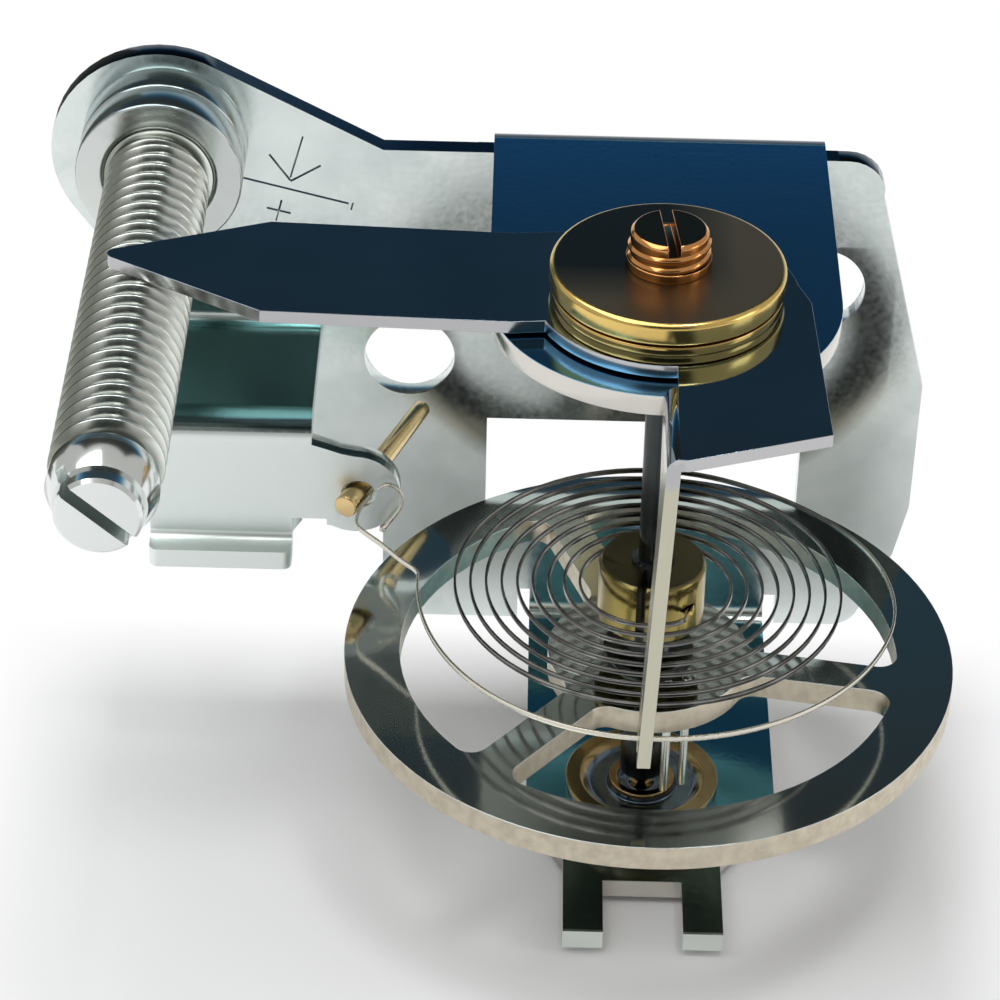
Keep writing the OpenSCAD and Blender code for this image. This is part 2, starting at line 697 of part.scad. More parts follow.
module balance_wheel() {
    placed() color("slategray") translate([0, 0, wheel_z]) difference() {
        cylinder(h = wheel_t, r = wheel_r);
        for (k = [0:2]) rotate([0, 0, spoke_turn + 120 * k])
            translate([0, 0, -eps]) linear_extrude(height = wheel_t + 2 * eps) sector();
        translate([0, 0, -eps]) cylinder(h = wheel_t + 2 * eps, r = seat_r + seat_gap);
        for (a = impulse_at) rotate([0, 0, a]) translate([impulse_out, 0, -eps])
            cylinder(h = wheel_t + 2 * eps, r = impulse_r + seat_gap);
    }
}

impulse_at = [-70, -49];

module impulse_pins() {
    placed() color("lightgray") for (a = impulse_at) rotate([0, 0, a])
        translate([impulse_out, 0, impulse_low])
            cylinder(h = wheel_top - impulse_low, r = impulse_r);
}

module balance_staff() {
    cone = 0.6;
    placed() color("dimgray") union() {
        translate([0, 0, low_pivot]) cylinder(h = 2, r = pivot_r);
        translate([0, 0, low_top + low_bush_h + 0.15]) cylinder(h = 0.3, r1 = pivot_r, r2 = staff_r);
        translate([0, 0, low_top + low_bush_h + 0.44])
            cylinder(h = screw_end - 0.1 - cone - low_top - low_bush_h - 0.44, r = staff_r);
        // seat and riveted rim for the wheel, then the seat of the collet
        translate([0, 0, wheel_z]) cylinder(h = wheel_t, r = seat_r);
        translate([0, 0, wheel_top]) cylinder(h = 0.25, r = seat_r + 0.5);
        translate([0, 0, wheel_top + 0.2]) cylinder(h = 1.2, r = seat_r - 0.2);
        translate([0, 0, wheel_top + 0.3])
            cylinder(h = collet_z + collet_h - wheel_top - 0.2, r = 0.8);
        translate([0, 0, screw_end - 0.1 - cone - 0.01])
            cylinder(h = cone, r1 = staff_r, r2 = pivot_r);
        translate([0, 0, screw_end - 0.3]) cylinder(h = pivot_top - screw_end + 0.3, r = pivot_r);
    }
}

module roller_sleeve() {
    from = low_top + low_bush_h + 0.45;
    placed() color("dimgray") translate([0, 0, from]) difference() {
        cylinder(h = wheel_z - from, r = sleeve_r);
        translate([0, 0, -eps]) cylinder(h = wheel_z - from + 2 * eps, r = staff_r + seat_gap);
    }
}

// Where the first coil starts, the collet's hole and its distance from the axis
pin_angle = -70;
hole_angle = pin_angle + 62;
pin_out = collet_r - 0.45;
small_pin_len = 1.5 * collet_r;

module collet() {
    placed() color("goldenrod") translate([0, 0, collet_z]) difference() {
        union() {
            cylinder(h = collet_h - 0.12, r = collet_r);
            translate([0, 0, collet_h - 0.12])
                cylinder(h = 0.12, r1 = collet_r, r2 = collet_r - 0.12);
        }
        translate([0, 0, -eps]) cylinder(h = collet_h + 2 * eps, r = 0.8 + seat_gap);
        // slit that lets the collet grip the staff
        rotate([0, 0, -103]) translate([0, -slit_w / 2, -eps])
            cube([collet_r + 1, slit_w, collet_h + 2 * eps]);
        // hole for the inner end of the spring and its pin
        rotate([0, 0, hole_angle]) translate([pin_out, 0, collet_h / 2])
            rotate([90, 0, 0]) translate([0, 0, -2]) cylinder(h = 4, r = 0.2);
    }
}

module collet_pin() {
    placed() color("gold") rotate([0, 0, hole_angle]) translate([pin_out + 0.095, 0, spring_z])
        rotate([90, 0, 0]) translate([0, 0, -small_pin_len / 2])
            cylinder(h = small_pin_len, r1 = 0.09, r2 = 0.08);
}

// Hairspring: points and the direction of the ribbon's thin side
per_turn = 30;
spring_r0 = collet_r + spring_start;
spring_r1 = spring_r0 + spring_pitch * spring_turns;
body_n = round(spring_turns * per_turn);
leave_a = pin_angle - spring_turns * 360;
sweep = 82;
after = 9;
// inner end: straight through the collet's hole, then round to the first coil
hole_along = [sin(hole_angle), -cos(hole_angle), 0];
hole_out = [cos(hole_angle), sin(hole_angle), 0];
root_path = concat([for (s = [0.1, 0.6, 1.1, 1.42])
    [hole_out * (pin_out - 0.07) + hole_along * s + [0, 0, spring_z], hole_out]],
    [for (q = [[10, 0.09], [5, 0.03]]) let(a = pin_angle + q[0], r = spring_r0 - q[1])
        [[r * cos(a), r * sin(a), spring_z], [cos(a + 12), sin(a + 12), 0]]]);
root_steps = len(root_path);
body_path = [for (i = [0:body_n]) let(t = i * spring_turns / body_n, a = pin_angle - 360 * t,
    r = spring_r0 + spring_pitch * t) [[r * cos(a), r * sin(a), spring_z], [cos(a), sin(a), 0]]];
rise_path = [for (i = [1:after]) let(a = leave_a - sweep * i / after,
    r = spring_r1 + (outer_coil_r - spring_r1) * ease(i / after)
        + spring_pitch * sweep / 360 * (1 - i / after) * i / after)
    [[r * cos(a), r * sin(a), spring_z], [cos(a), sin(a), 0]]];
// steady arc through the curb, then slightly inwards to the knee
arc_from = leave_a - sweep;
arc_to = -182 - 360 * 9;
arc_n = 18;
knee_r = outer_coil_r - 0.4;
arc_path = [for (i = [1:arc_n]) let(a = arc_from + (arc_to - arc_from) * i / arc_n,
    r = outer_coil_r + (knee_r - outer_coil_r) * ease((i / arc_n - 0.55) / 0.45))
    [[r * cos(a), r * sin(a), spring_z], [cos(a), sin(a), 0]]];
// straight run beside the stud pin, through the lug, and the free end round its edge
s = sin(stud_turn);
c = cos(stud_turn);
beside = stud_thick_r + 0.06;
curl_y = lug_y - 0.35;
function by_pin(d, side) = [stud_x + side * c + d * s, lug_y + d * c - side * s, 0];
run = [by_pin(-1.5, beside + 0.1), by_pin(-0.7, beside), by_pin(0, beside),
    by_pin(sheet_t / c + 0.25, beside)];
tail = [
    [[-9.45, 1.2, 0], [-0.75, -0.65, 0]],
    [[-10.2, 2.15, 0], [-0.75, -0.65, 0]],
    [run[0] + [0.2, -0.6, 0], [-0.9, -0.4, 0]],
    [run[0] + [0.08, 0, 0], [-1, -0.2, 0]],
    [run[1], [-c, s, 0]],
    [run[2], [-c, s, 0]],
    [run[3], [-c, s, 0]],
    [[run[3][0] + 0.35, lug_back + 0.6, -0.3], [-0.6, 0.8, 0.2]],
    [[run[3][0] + 0.6, lug_back + 0.5, -1.1], [-0.6, 0.8, 0]],
    [[-10.25, lug_back - 0.2, -1.75], [-0.3, 0.3, -0.9]],
    [[-10.3, lug_y - 0.2, -1.55], [-0.5, -0.5, -0.7]],
    [[-9.95, curl_y, -0.95], [0.75, 0, -0.65]],
    [[-9.6, curl_y, -0.4], [0.9, 0, -0.4]],
    [[-9.5, curl_y, 0.05], [1, 0, 0.1]],
    [[-9.65, curl_y, 0.5], [0.75, 0, 0.65]],
    [[-10.05, curl_y, 0.75], [0, 0, 1]],
    [[-10.45, curl_y - 0.1, 0.62], [-0.45, 0, 0.9]]];
knee = arc_path[arc_n - 1];
chain = concat([arc_path[arc_n - 2], knee],
    [for (q = tail) [q[0] + [0, 0, spring_z], unit(q[1])]]);
function mix(a, b, c, d, t) = 0.5 * ((2 * b) + (c - a) * t + (2 * a - 5 * b + 4 * c - d) * t * t
    + (3 * b - a - 3 * c + d) * t * t * t);
last = len(chain) - 1;
tail_path = [for (i = [1:last - 1]) for (k = [1:3]) let(t = k / 3, n = min(last, i + 2))
    [mix(chain[i - 1][0], chain[i][0], chain[i + 1][0], chain[n][0], t),
    unit(mix(chain[i - 1][1], chain[i][1], chain[i + 1][1], chain[n][1], t))]];
spring_path = concat(root_path, body_path, rise_path, arc_path, tail_path);
rings = len(spring_path);
function heading(i) = unit(spring_path[min(rings - 1, i + 1)][0] - spring_path[max(0, i - 1)][0]);
// least gap of the ribbon to itself, between rings over half a turn apart
flat_end = root_steps + body_n + after + arc_n;
flat_gap = min([for (i = [0:flat_end]) for (j = [i + 12:flat_end])
    norm(spring_path[i][0] - spring_path[j][0])]) - ribbon_t;
tail_gap = min([for (i = [flat_end + 1:rings - 1])
    min([for (j = [0:i - 10]) norm(spring_path[i][0] - spring_path[j][0])])]) - ribbon_h;
echo("least gap in the spiral", flat_gap, "least gap at the free end", tail_gap);

module hairspring() {
    corners = [[1, 1], [-1, 1], [-1, -1], [1, -1]];
    points = [for (i = [0:rings - 1]) let(p = spring_path[i][0], t = heading(i),
        up = unit(cross(t, spring_path[i][1])), side = cross(up, t)) for (q = corners)
        p + side * (q[0] * ribbon_t / 2) + up * (q[1] * ribbon_h / 2)];
    faces = concat([for (i = [0:rings - 2]) for (k = [0:3]) let(a = 4 * i + k,
        b = 4 * i + (k + 1) % 4) for (f = [[a, b, b + 4], [a, b + 4, a + 4]]) f],
        [[0, 2, 1], [0, 3, 2]],
        [let(e = 4 * (rings - 1)) [e, e + 1, e + 2], let(e = 4 * (rings - 1)) [e, e + 2, e + 3]]);
    placed() color("gray") polyhedron(points = points, faces = faces, convexity = 10);
}

module stud_pin() {
    placed() color("darkgoldenrod") along_stud(0, -stud_ahead)
        cylinder(h = stud_len, r1 = stud_thick_r - 0.04, r2 = stud_thin_r);
}

module lower_bush() {
    top = low_top + low_bush_h;
    placed() color("goldenrod") difference() {
        union() {
            translate([0, 0, low_top]) cylinder(h = low_bush_h, r = low_bush_r);
            translate([0, 0, rivet_t - eps]) cylinder(h = sheet_t + 2 * eps, r = low_neck_r);
            cylinder(h = rivet_t, r = low_neck_r + 0.5);
        }
        // dished face with a raised lip round the pivot
        translate([0, 0, top - 0.35]) difference() {
            cylinder(h = 1, r1 = low_bush_r - 0.95, r2 = low_bush_r + 0.1);
            translate([0, 0, -eps]) cylinder(h = 1.2, r1 = 1.35, r2 = 1.1);
        }
        translate([0, 0, top - 0.3]) cylinder(h = 1, r = 0.95);
        // bearing for the lower pivot with a conical mouth
        translate([0, 0, low_pivot - 0.1]) cylinder(h = 3, r = pivot_r + run_gap);
        translate([0, 0, top - 0.6]) cylinder(h = 0.35, r1 = pivot_r + run_gap, r2 = 0.6);
    }
}

frame();
screw_bush();
adjusting_screw();
screw_collar();
retaining_ring();
regulator();
regulator_washer();
pressure_ring();
upper_bush();
bearing_screw();
balance_wheel();
balance_staff();
roller_sleeve();
impulse_pins();
collet();
collet_pin();
hairspring();
stud_pin();
lower_bush();
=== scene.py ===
import bmesh
import bpy
import json
import math
from mathutils import Matrix, Vector


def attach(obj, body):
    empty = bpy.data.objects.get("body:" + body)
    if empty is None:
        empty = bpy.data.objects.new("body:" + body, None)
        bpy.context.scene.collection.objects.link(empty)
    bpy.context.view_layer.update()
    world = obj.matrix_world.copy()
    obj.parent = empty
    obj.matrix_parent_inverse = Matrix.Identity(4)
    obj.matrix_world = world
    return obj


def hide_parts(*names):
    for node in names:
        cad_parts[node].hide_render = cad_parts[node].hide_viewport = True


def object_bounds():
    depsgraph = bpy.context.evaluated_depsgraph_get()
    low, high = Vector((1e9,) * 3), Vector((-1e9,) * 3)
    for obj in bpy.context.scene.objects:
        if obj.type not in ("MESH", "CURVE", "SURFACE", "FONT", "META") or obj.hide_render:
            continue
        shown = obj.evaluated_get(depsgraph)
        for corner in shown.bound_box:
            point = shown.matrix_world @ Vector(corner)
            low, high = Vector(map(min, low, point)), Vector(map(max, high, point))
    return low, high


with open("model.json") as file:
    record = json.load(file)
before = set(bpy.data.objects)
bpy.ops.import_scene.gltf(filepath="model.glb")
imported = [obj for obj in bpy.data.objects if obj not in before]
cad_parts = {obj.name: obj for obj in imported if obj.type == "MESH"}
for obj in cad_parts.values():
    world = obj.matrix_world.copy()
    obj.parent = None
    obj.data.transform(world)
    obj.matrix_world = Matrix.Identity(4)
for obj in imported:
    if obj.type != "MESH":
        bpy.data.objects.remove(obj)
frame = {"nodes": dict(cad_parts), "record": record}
cad_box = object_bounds()
MM = 0.001

# Viewpoint
# A long lens looks down at the balance from the front, a little off level. Its place and turn
# were solved from the picture, with the lens counted in pixels of a view 1000 wide.
lens_px, picture_px, sensor_mm = 3720.0, 1000.0, 36.0
view_turn = math.radians(0.157)
view_tilt = math.radians(35.226)
view_roll = math.radians(1.336)
view_from = Vector((-5.430, -124.906, 80.756)) * MM
back = Vector((math.sin(view_turn) * math.cos(view_tilt),
               -math.cos(view_turn) * math.cos(view_tilt), math.sin(view_tilt)))
right = Vector((0, 0, 1)).cross(back).normalized()
up = back.cross(right)
right, up = (right * math.cos(view_roll) + up * math.sin(view_roll),
             up * math.cos(view_roll) - right * math.sin(view_roll))
camera = bpy.data.objects.new("camera", bpy.data.cameras.new("camera"))
camera.data.sensor_width = sensor_mm
camera.data.lens = sensor_mm * lens_px / picture_px
camera.data.clip_start = 0.002
camera.matrix_world = (Matrix.Translation(view_from)
                       @ Matrix((right, up, back)).transposed().to_4x4())
bpy.context.scene.collection.objects.link(camera)
bpy.context.scene.camera = camera

# Studio
# White paper under and behind the part and soft lamps, all placed in metres. The cards stand for
# the dark room that bright metal mirrors: blue above the paper, near black higher up and behind
# the camera.
scene = bpy.context.scene
scene.view_settings.view_transform = "Standard"
ground_z = cad_box[0][2]
middle = (0, -0.013, -0.004)


def plain(name, color):
    mat = bpy.data.materials.new(name)
    mat.use_nodes = True
    shader = mat.node_tree.nodes["Principled BSDF"]
    shader.inputs["Base Color"].default_value = (*color, 1)
    shader.inputs["Roughness"].default_value = 0.9
    return mat


def shaded(name, axis, stops, span, glows):
    # a colour that changes along one axis of the card, as light or as paint
    mat = plain(name, (0, 0, 0))
    n, link = mat.node_tree.nodes, mat.node_tree.links.new
    coord = n.new("ShaderNodeTexCoord")
    split = n.new("ShaderNodeSeparateXYZ")
    link(coord.outputs["Object"], split.inputs[0])
    place = n.new("ShaderNodeMapRange")
    place.inputs["From Min"].default_value, place.inputs["From Max"].default_value = span
    link(split.outputs[axis], place.inputs["Value"])
    ramp = n.new("ShaderNodeValToRGB")
    link(place.outputs["Result"], ramp.inputs["Fac"])
    marks = ramp.color_ramp.elements
    while len(marks) < len(stops):
        marks.new(0.5)
    for mark, (at, color) in zip(marks, stops):
        mark.position = at
        mark.color = (*color, 1)
    shader = n["Principled BSDF"]
    link(ramp.outputs["Color"], shader.inputs["Emission Color" if glows else "Base Color"])
    shader.inputs["Emission Strength"].default_value = 1.0 if glows else 0.0
    return mat


def card(name, center, toward, size, mat, shown=True):
    half_w, half_h = size[0] / 2, size[1] / 2
    mesh = bpy.data.meshes.new(name)
    mesh.from_pydata([(-half_w, -half_h, 0), (half_w, -half_h, 0), (half_w, half_h, 0),
                      (-half_w, half_h, 0)], [], [(0, 1, 2, 3)])
    mesh.materials.append(mat)
    obj = bpy.data.objects.new(name, mesh)
    scene.collection.objects.link(obj)
    turn = (Vector(toward) - Vector(center)).to_track_quat("Z", "Y")
    obj.matrix_world = Matrix.Translation(Vector(center)) @ turn.to_matrix().to_4x4()
    if not shown:
        obj.visible_camera = False
        obj.visible_shadow = False
        obj.visible_diffuse = False
    return obj


def sockets(tree, side, pairs):
    for name, kind in pairs:
        tree.interface.new_socket(name=name, in_out=side, socket_type="NodeSocket" + kind)


def box_mask():
    # 1 inside a box of the piece, in metres, with soft edges
    tree = bpy.data.node_groups.new("box_mask", "ShaderNodeTree")
    sockets(tree, "INPUT", [("Low", "Vector"), ("High", "Vector"), ("Soft", "Float")])
    sockets(tree, "OUTPUT", [("Mask", "Float")])
    n, link = tree.nodes, tree.links.new
    gin, gout = n.new("NodeGroupInput"), n.new("NodeGroupOutput")
    coord = n.new("ShaderNodeTexCoord")
    parts = []
    for socket in (coord.outputs["Object"], gin.outputs["Low"], gin.outputs["High"]):
        split = n.new("ShaderNodeSeparateXYZ")
        link(socket, split.inputs[0])
        parts.append(split)
    mask = None
    for axis in "XYZ":
        for low, high in ((1, 0), (0, 2)):
            inside = n.new("ShaderNodeMath")
            inside.operation = "SUBTRACT"
            link(parts[high].outputs[axis], inside.inputs[0])
            link(parts[low].outputs[axis], inside.inputs[1])
            ramp = n.new("ShaderNodeMath")
            ramp.operation = "DIVIDE"
            ramp.use_clamp = True
            link(inside.outputs[0], ramp.inputs[0])
            link(gin.outputs["Soft"], ramp.inputs[1])
            if mask is None:
                mask = ramp.outputs[0]
                continue
            both = n.new("ShaderNodeMath")
            both.operation = "MULTIPLY"
            link(mask, both.inputs[0])
            link(ramp.outputs[0], both.inputs[1])
            mask = both.outputs[0]
    link(mask, gout.inputs["Mask"])
    return tree


def paper_of_table():
    # matt paper near the part, and plain white all round it for the camera and for mirrors
    mat = plain("paper", (0.80, 0.81, 0.83))
    n, link = mat.node_tree.nodes, mat.node_tree.links.new
    near = n.new("ShaderNodeGroup")
    near.node_tree = mask_tree
    near.inputs["Low"].default_value = (-0.0265, -0.09, -1)
    near.inputs["High"].default_value = (0.0165, -0.0006, 1)
    near.inputs["Soft"].default_value = 0.0055
    path = n.new("ShaderNodeLightPath")
    rays = path.outputs["Is Camera Ray"]
    for other in ("Is Glossy Ray", "Is Transmission Ray"):
        either = n.new("ShaderNodeMath")
        either.operation = "MAXIMUM"
        link(rays, either.inputs[0])
        link(path.outputs[other], either.inputs[1])
        rays = either.outputs[0]
    far = n.new("ShaderNodeMath")
    far.operation = "MULTIPLY_ADD"
    far.inputs[1].default_value = -1.0
    far.inputs[2].default_value = 1.0
    link(near.outputs["Mask"], far.inputs[0])
    share = n.new("ShaderNodeMath")
    share.operation = "MULTIPLY"
    link(far.outputs[0], share.inputs[0])
    link(rays, share.inputs[1])
    white = n.new("ShaderNodeEmission")
    mix = n.new("ShaderNodeMixShader")
    link(share.outputs[0], mix.inputs["Fac"])
    link(n["Principled BSDF"].outputs[0], mix.inputs[1])
    link(white.outputs[0], mix.inputs[2])
    link(mix.outputs[0], n["Material Output"].inputs["Surface"])
    return mat


mask_tree = box_mask()
floor = card("floor", (0, 0, ground_z), (0, 0, 1), (1.6, 1.6), paper_of_table())
floor.matrix_world = Matrix.Translation((0, 0, ground_z))
wall_y, wall_z, wall_h = 0.22, 0.18, 0.36


def height_at(elevation):
    # place on the wall, from 0 at its foot to 1 at its top, seen from the part
    level = middle[2] + (wall_y - middle[1]) * math.tan(math.radians(elevation))
    return (level - wall_z + wall_h / 2) / wall_h


room_light = ((height_at(18), (0.70, 0.72, 0.72)), (height_at(26), (0.05, 0.22, 0.34)),
              (height_at(29.5), (0.0, 0.085, 0.19)), (height_at(32), (0.008, 0.036, 0.062)),
              (height_at(37.5), (0.008, 0.032, 0.05)), (height_at(42), (0.012, 0.014, 0.012)))
card("wall", (0.02, wall_y, wall_z), (0.02, 0, wall_z), (0.5, wall_h),
     shaded("dark_room", "Y", room_light, (-wall_h / 2, wall_h / 2), True), shown=False)
left_light = ((0.0, (0.06, 0.065, 0.05)), (1.0, (0.09, 0.095, 0.08)))
card("left_side", (-0.048, 0.02, 0.006), (-0.048, 0, 0.006), (0.044, 0.038),
     shaded("dark_left", "Y", left_light, (-0.02, 0.02), True), shown=False)
behind_light = ((0.0, (0.006, 0.02, 0.014)), (1.0, (0.006, 0.012, 0.012)))
card("camera_side", tuple(Vector(middle) + back * 0.2), middle, (0.15, 0.11),
     shaded("dark_side", "Y", behind_light, (-1, 1), True), shown=False)

world = bpy.data.worlds.new("studio")
scene.world = world
world.use_nodes = True
wt = world.node_tree
wt.nodes.clear()
out = wt.nodes.new("ShaderNodeOutputWorld")
seen = wt.nodes.new("ShaderNodeBackground")
seen.inputs["Strength"].default_value = 1.0
light = wt.nodes.new("ShaderNodeBackground")
light.inputs["Color"].default_value = (1.0, 0.985, 0.955, 1)
light.inputs["Strength"].default_value = 0.52
pick = wt.nodes.new("ShaderNodeMixShader")
path = wt.nodes.new("ShaderNodeLightPath")
wt.links.new(path.outputs["Is Camera Ray"], pick.inputs["Fac"])
wt.links.new(light.outputs[0], pick.inputs[1])
wt.links.new(seen.outputs[0], pick.inputs[2])
wt.links.new(pick.outputs[0], out.inputs["Surface"])


def lamp(name, place, size, power, color=(1, 1, 1)):
    data = bpy.data.lights.new(name, "AREA")
    data.shape = "RECTANGLE"
    data.size, data.size_y = size
    data.energy = power
    data.color = color
    obj = bpy.data.objects.new(name, data)
    scene.collection.objects.link(obj)
    turn = (Vector(middle) - Vector(place)).to_track_quat("-Z", "Y")
    obj.matrix_world = Matrix.Translation(Vector(place)) @ turn.to_matrix().to_4x4()
    return obj


lamp("key_lamp", (-0.12, -0.04, 0.30), (0.34, 0.26), 0.62)
lamp("fill_lamp", (0.26, -0.08, 0.10), (0.10, 0.12), 0.08, (1.0, 0.96, 0.9))
lamp("top_lamp", (0.06, -0.04, 0.33), (0.06, 0.06), 0.16)


# Bent sheet frame
# One blank of cold rolled steel, pierced and bent in a press tool, then barrel plated with bright
# zinc and passivated blue. The sheared edges stay a little rough; their warmer tone is a painted
# reflection of the lit paper in front.
def metal_skin():
    # cloudy tone, fine grain and small handling marks
    tree = bpy.data.node_groups.new("metal_skin", "ShaderNodeTree")
    sockets(tree, "INPUT", [("Color", "Color"), ("Shade", "Color"), ("Cloud Scale", "Float"),
                            ("Grain Scale", "Float"), ("Roughness", "Float"),
                            ("Roughness Spread", "Float"), ("Relief", "Float")])
    sockets(tree, "OUTPUT", [("Color", "Color"), ("Roughness", "Float"), ("Height", "Float")])
    n, link = tree.nodes, tree.links.new
    gin, gout = n.new("NodeGroupInput"), n.new("NodeGroupOutput")
    coord = n.new("ShaderNodeTexCoord")
    cloud = n.new("ShaderNodeTexNoise")
    cloud.inputs["Detail"].default_value = 4.0
    link(coord.outputs["Object"], cloud.inputs["Vector"])
    link(gin.outputs["Cloud Scale"], cloud.inputs["Scale"])
    grain = n.new("ShaderNodeTexNoise")
    grain.inputs["Detail"].default_value = 4.0
    link(coord.outputs["Object"], grain.inputs["Vector"])
    link(gin.outputs["Grain Scale"], grain.inputs["Scale"])
    tone = n.new("ShaderNodeMapRange")
    tone.inputs["From Min"].default_value = 0.35
    tone.inputs["From Max"].default_value = 0.68
    link(cloud.outputs["Fac"], tone.inputs["Value"])
    mix = n.new("ShaderNodeMix")
    mix.data_type = "RGBA"
    link(tone.outputs["Result"], mix.inputs["Factor"])
    link(gin.outputs["Color"], mix.inputs["A"])
    link(gin.outputs["Shade"], mix.inputs["B"])
    link(mix.outputs["Result"], gout.inputs["Color"])
    centred = n.new("ShaderNodeMath")
    centred.operation = "SUBTRACT"
    centred.inputs[1].default_value = 0.5
    link(grain.outputs["Fac"], centred.inputs[0])
    spread = n.new("ShaderNodeMath")
    spread.operation = "MULTIPLY_ADD"
    link(centred.outputs[0], spread.inputs[0])
    link(gin.outputs["Roughness Spread"], spread.inputs[1])
    link(gin.outputs["Roughness"], spread.inputs[2])
    link(spread.outputs[0], gout.inputs["Roughness"])
    relief = n.new("ShaderNodeMath")
    relief.operation = "MULTIPLY"
    link(grain.outputs["Fac"], relief.inputs[0])
    link(gin.outputs["Relief"], relief.inputs[1])
    link(relief.outputs[0], gout.inputs["Height"])
    return tree


def ring_mask():
    # 0 inside the near radius round an axis, 1 outside the far one
    tree = bpy.data.node_groups.new("ring_mask", "ShaderNodeTree")
    sockets(tree, "INPUT", [("Center", "Vector"), ("Flatten", "Vector"), ("Near", "Float"),
                            ("Far", "Float")])
    sockets(tree, "OUTPUT", [("Mask", "Float")])
    n, link = tree.nodes, tree.links.new
    gin, gout = n.new("NodeGroupInput"), n.new("NodeGroupOutput")
    coord = n.new("ShaderNodeTexCoord")
    shift, flat, far = (n.new("ShaderNodeVectorMath") for i in range(3))
    shift.operation, flat.operation, far.operation = "SUBTRACT", "MULTIPLY", "LENGTH"
    link(coord.outputs["Object"], shift.inputs[0])
    link(gin.outputs["Center"], shift.inputs[1])
    link(shift.outputs[0], flat.inputs[0])
    link(gin.outputs["Flatten"], flat.inputs[1])
    link(flat.outputs[0], far.inputs[0])
    ramp = n.new("ShaderNodeMapRange")
    link(far.outputs["Value"], ramp.inputs["Value"])
    link(gin.outputs["Near"], ramp.inputs["From Min"])
    link(gin.outputs["Far"], ramp.inputs["From Max"])
    link(ramp.outputs["Result"], gout.inputs["Mask"])
    return tree


skin, ring_tree = metal_skin(), ring_mask()


grain_scale, grain_depth = 4000.0, 0.01 * MM


def metal(name, color, shade, roughness, spread=0.1, cloud=180.0, relief=0.3, bump=0.35):
    # a plated or bare metal; cloud and grain count their noise cells in a metre
    mat = bpy.data.materials.new(name)
    mat.use_nodes = True
    n, link = mat.node_tree.nodes, mat.node_tree.links.new
    shader = n["Principled BSDF"]
    shader.inputs["Metallic"].default_value = 1.0
    g = n.new("ShaderNodeGroup")
    g.node_tree = skin
    g.inputs["Color"].default_value = (*color, 1)
    g.inputs["Shade"].default_value = (*shade, 1)
    g.inputs["Cloud Scale"].default_value = cloud
    g.inputs["Grain Scale"].default_value = grain_scale
    g.inputs["Roughness"].default_value = roughness
    g.inputs["Roughness Spread"].default_value = spread
    g.inputs["Relief"].default_value = relief
    relief_node = n.new("ShaderNodeBump")
    relief_node.inputs["Strength"].default_value = bump
    relief_node.inputs["Distance"].default_value = grain_depth
    link(g.outputs["Color"], shader.inputs["Base Color"])
    link(g.outputs["Roughness"], shader.inputs["Roughness"])
    link(g.outputs["Height"], relief_node.inputs["Height"])
    link(relief_node.outputs["Normal"], shader.inputs["Normal"])
    return mat


def toned(mat, amount, color, roughness=None):
    # mixes a tone, and a roughness if given, into the material by a mask
    n, link = mat.node_tree.nodes, mat.node_tree.links.new
    shader = n["Principled BSDF"]
    mix = n.new("ShaderNodeMix")
    mix.data_type = "RGBA"
    link(amount, mix.inputs["Factor"])
    link(shader.inputs["Base Color"].links[0].from_socket, mix.inputs["A"])
    mix.inputs["B"].default_value = (*color, 1)
    link(mix.outputs["Result"], shader.inputs["Base Color"])
    if roughness is not None:
        blend = n.new("ShaderNodeMix")
        link(amount, blend.inputs["Factor"])
        link(shader.inputs["Roughness"].links[0].from_socket, blend.inputs["A"])
        blend.inputs["B"].default_value = roughness
        link(blend.outputs["Result"], shader.inputs["Roughness"])
    return mat


def product(mat, first, second):
    both = mat.node_tree.nodes.new("ShaderNodeMath")
    both.operation = "MULTIPLY"
    for k, value in enumerate((first, second)):
        if isinstance(value, float):
            both.inputs[k].default_value = value
        else:
            mat.node_tree.links.new(value, both.inputs[k])
    return both.outputs[0]


def in_box(mat, low, high, soft):
    g = mat.node_tree.nodes.new("ShaderNodeGroup")
    g.node_tree = mask_tree
    g.inputs["Low"].default_value = [v * MM for v in low]
    g.inputs["High"].default_value = [v * MM for v in high]
    g.inputs["Soft"].default_value = soft * MM
    return g.outputs["Mask"]


def tinted(mat, low, high, color, share=1.0, soft=0.04, roughness=None):
    # a tone inside one box of the piece, the metal's own or painted light and shade, sizes in
    # millimetres of the shared frame
    return toned(mat, product(mat, in_box(mat, low, high, soft), share), color, roughness)


def in_ring(mat, center, flatten, near, far):
    # 1 outside the far radius round an axis, or inside it where near is the larger
    g = mat.node_tree.nodes.new("ShaderNodeGroup")
    g.node_tree = ring_tree
    g.inputs["Center"].default_value = [v * MM for v in center]
    g.inputs["Flatten"].default_value = flatten
    g.inputs["Near"].default_value = near * MM
    g.inputs["Far"].default_value = far * MM
    return g.outputs["Mask"]


def ring_tone(mat, center, flatten, near, far, color, share=1.0, roughness=None):
    amount = product(mat, in_ring(mat, center, flatten, near, far), share)
    return toned(mat, amount, color, roughness)


def body_of_node(node):
    for body, members in frame["record"]["behaviour"]["bodies"].items():
        if node in members:
            return body


def adopt(obj, node, mat):
    # one material, on the body of the node that it stands for
    obj.data.materials.clear()
    obj.data.materials.append(mat)
    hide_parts(node)
    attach(obj, body_of_node(node))
    return obj


def baked(obj):
    # the modifiers' result as a plain mesh on the same object
    shot = obj.evaluated_get(bpy.context.evaluated_depsgraph_get())
    mesh = bpy.data.meshes.new_from_object(shot)
    obj.modifiers.clear()
    obj.data = mesh
    return obj


def new_piece(name, mesh):
    obj = bpy.data.objects.new(name, mesh)
    scene.collection.objects.link(obj)
    return obj


def shade_edges(obj, angle=50):
    obj.data.polygons.foreach_set("use_smooth", [True] * len(obj.data.polygons))
    obj.data.set_sharp_from_angle(angle=math.radians(angle))
    weigh = obj.modifiers.new("weigh", "WEIGHTED_NORMAL")
    weigh.weight = 80
    weigh.keep_sharp = True
    return baked(obj)


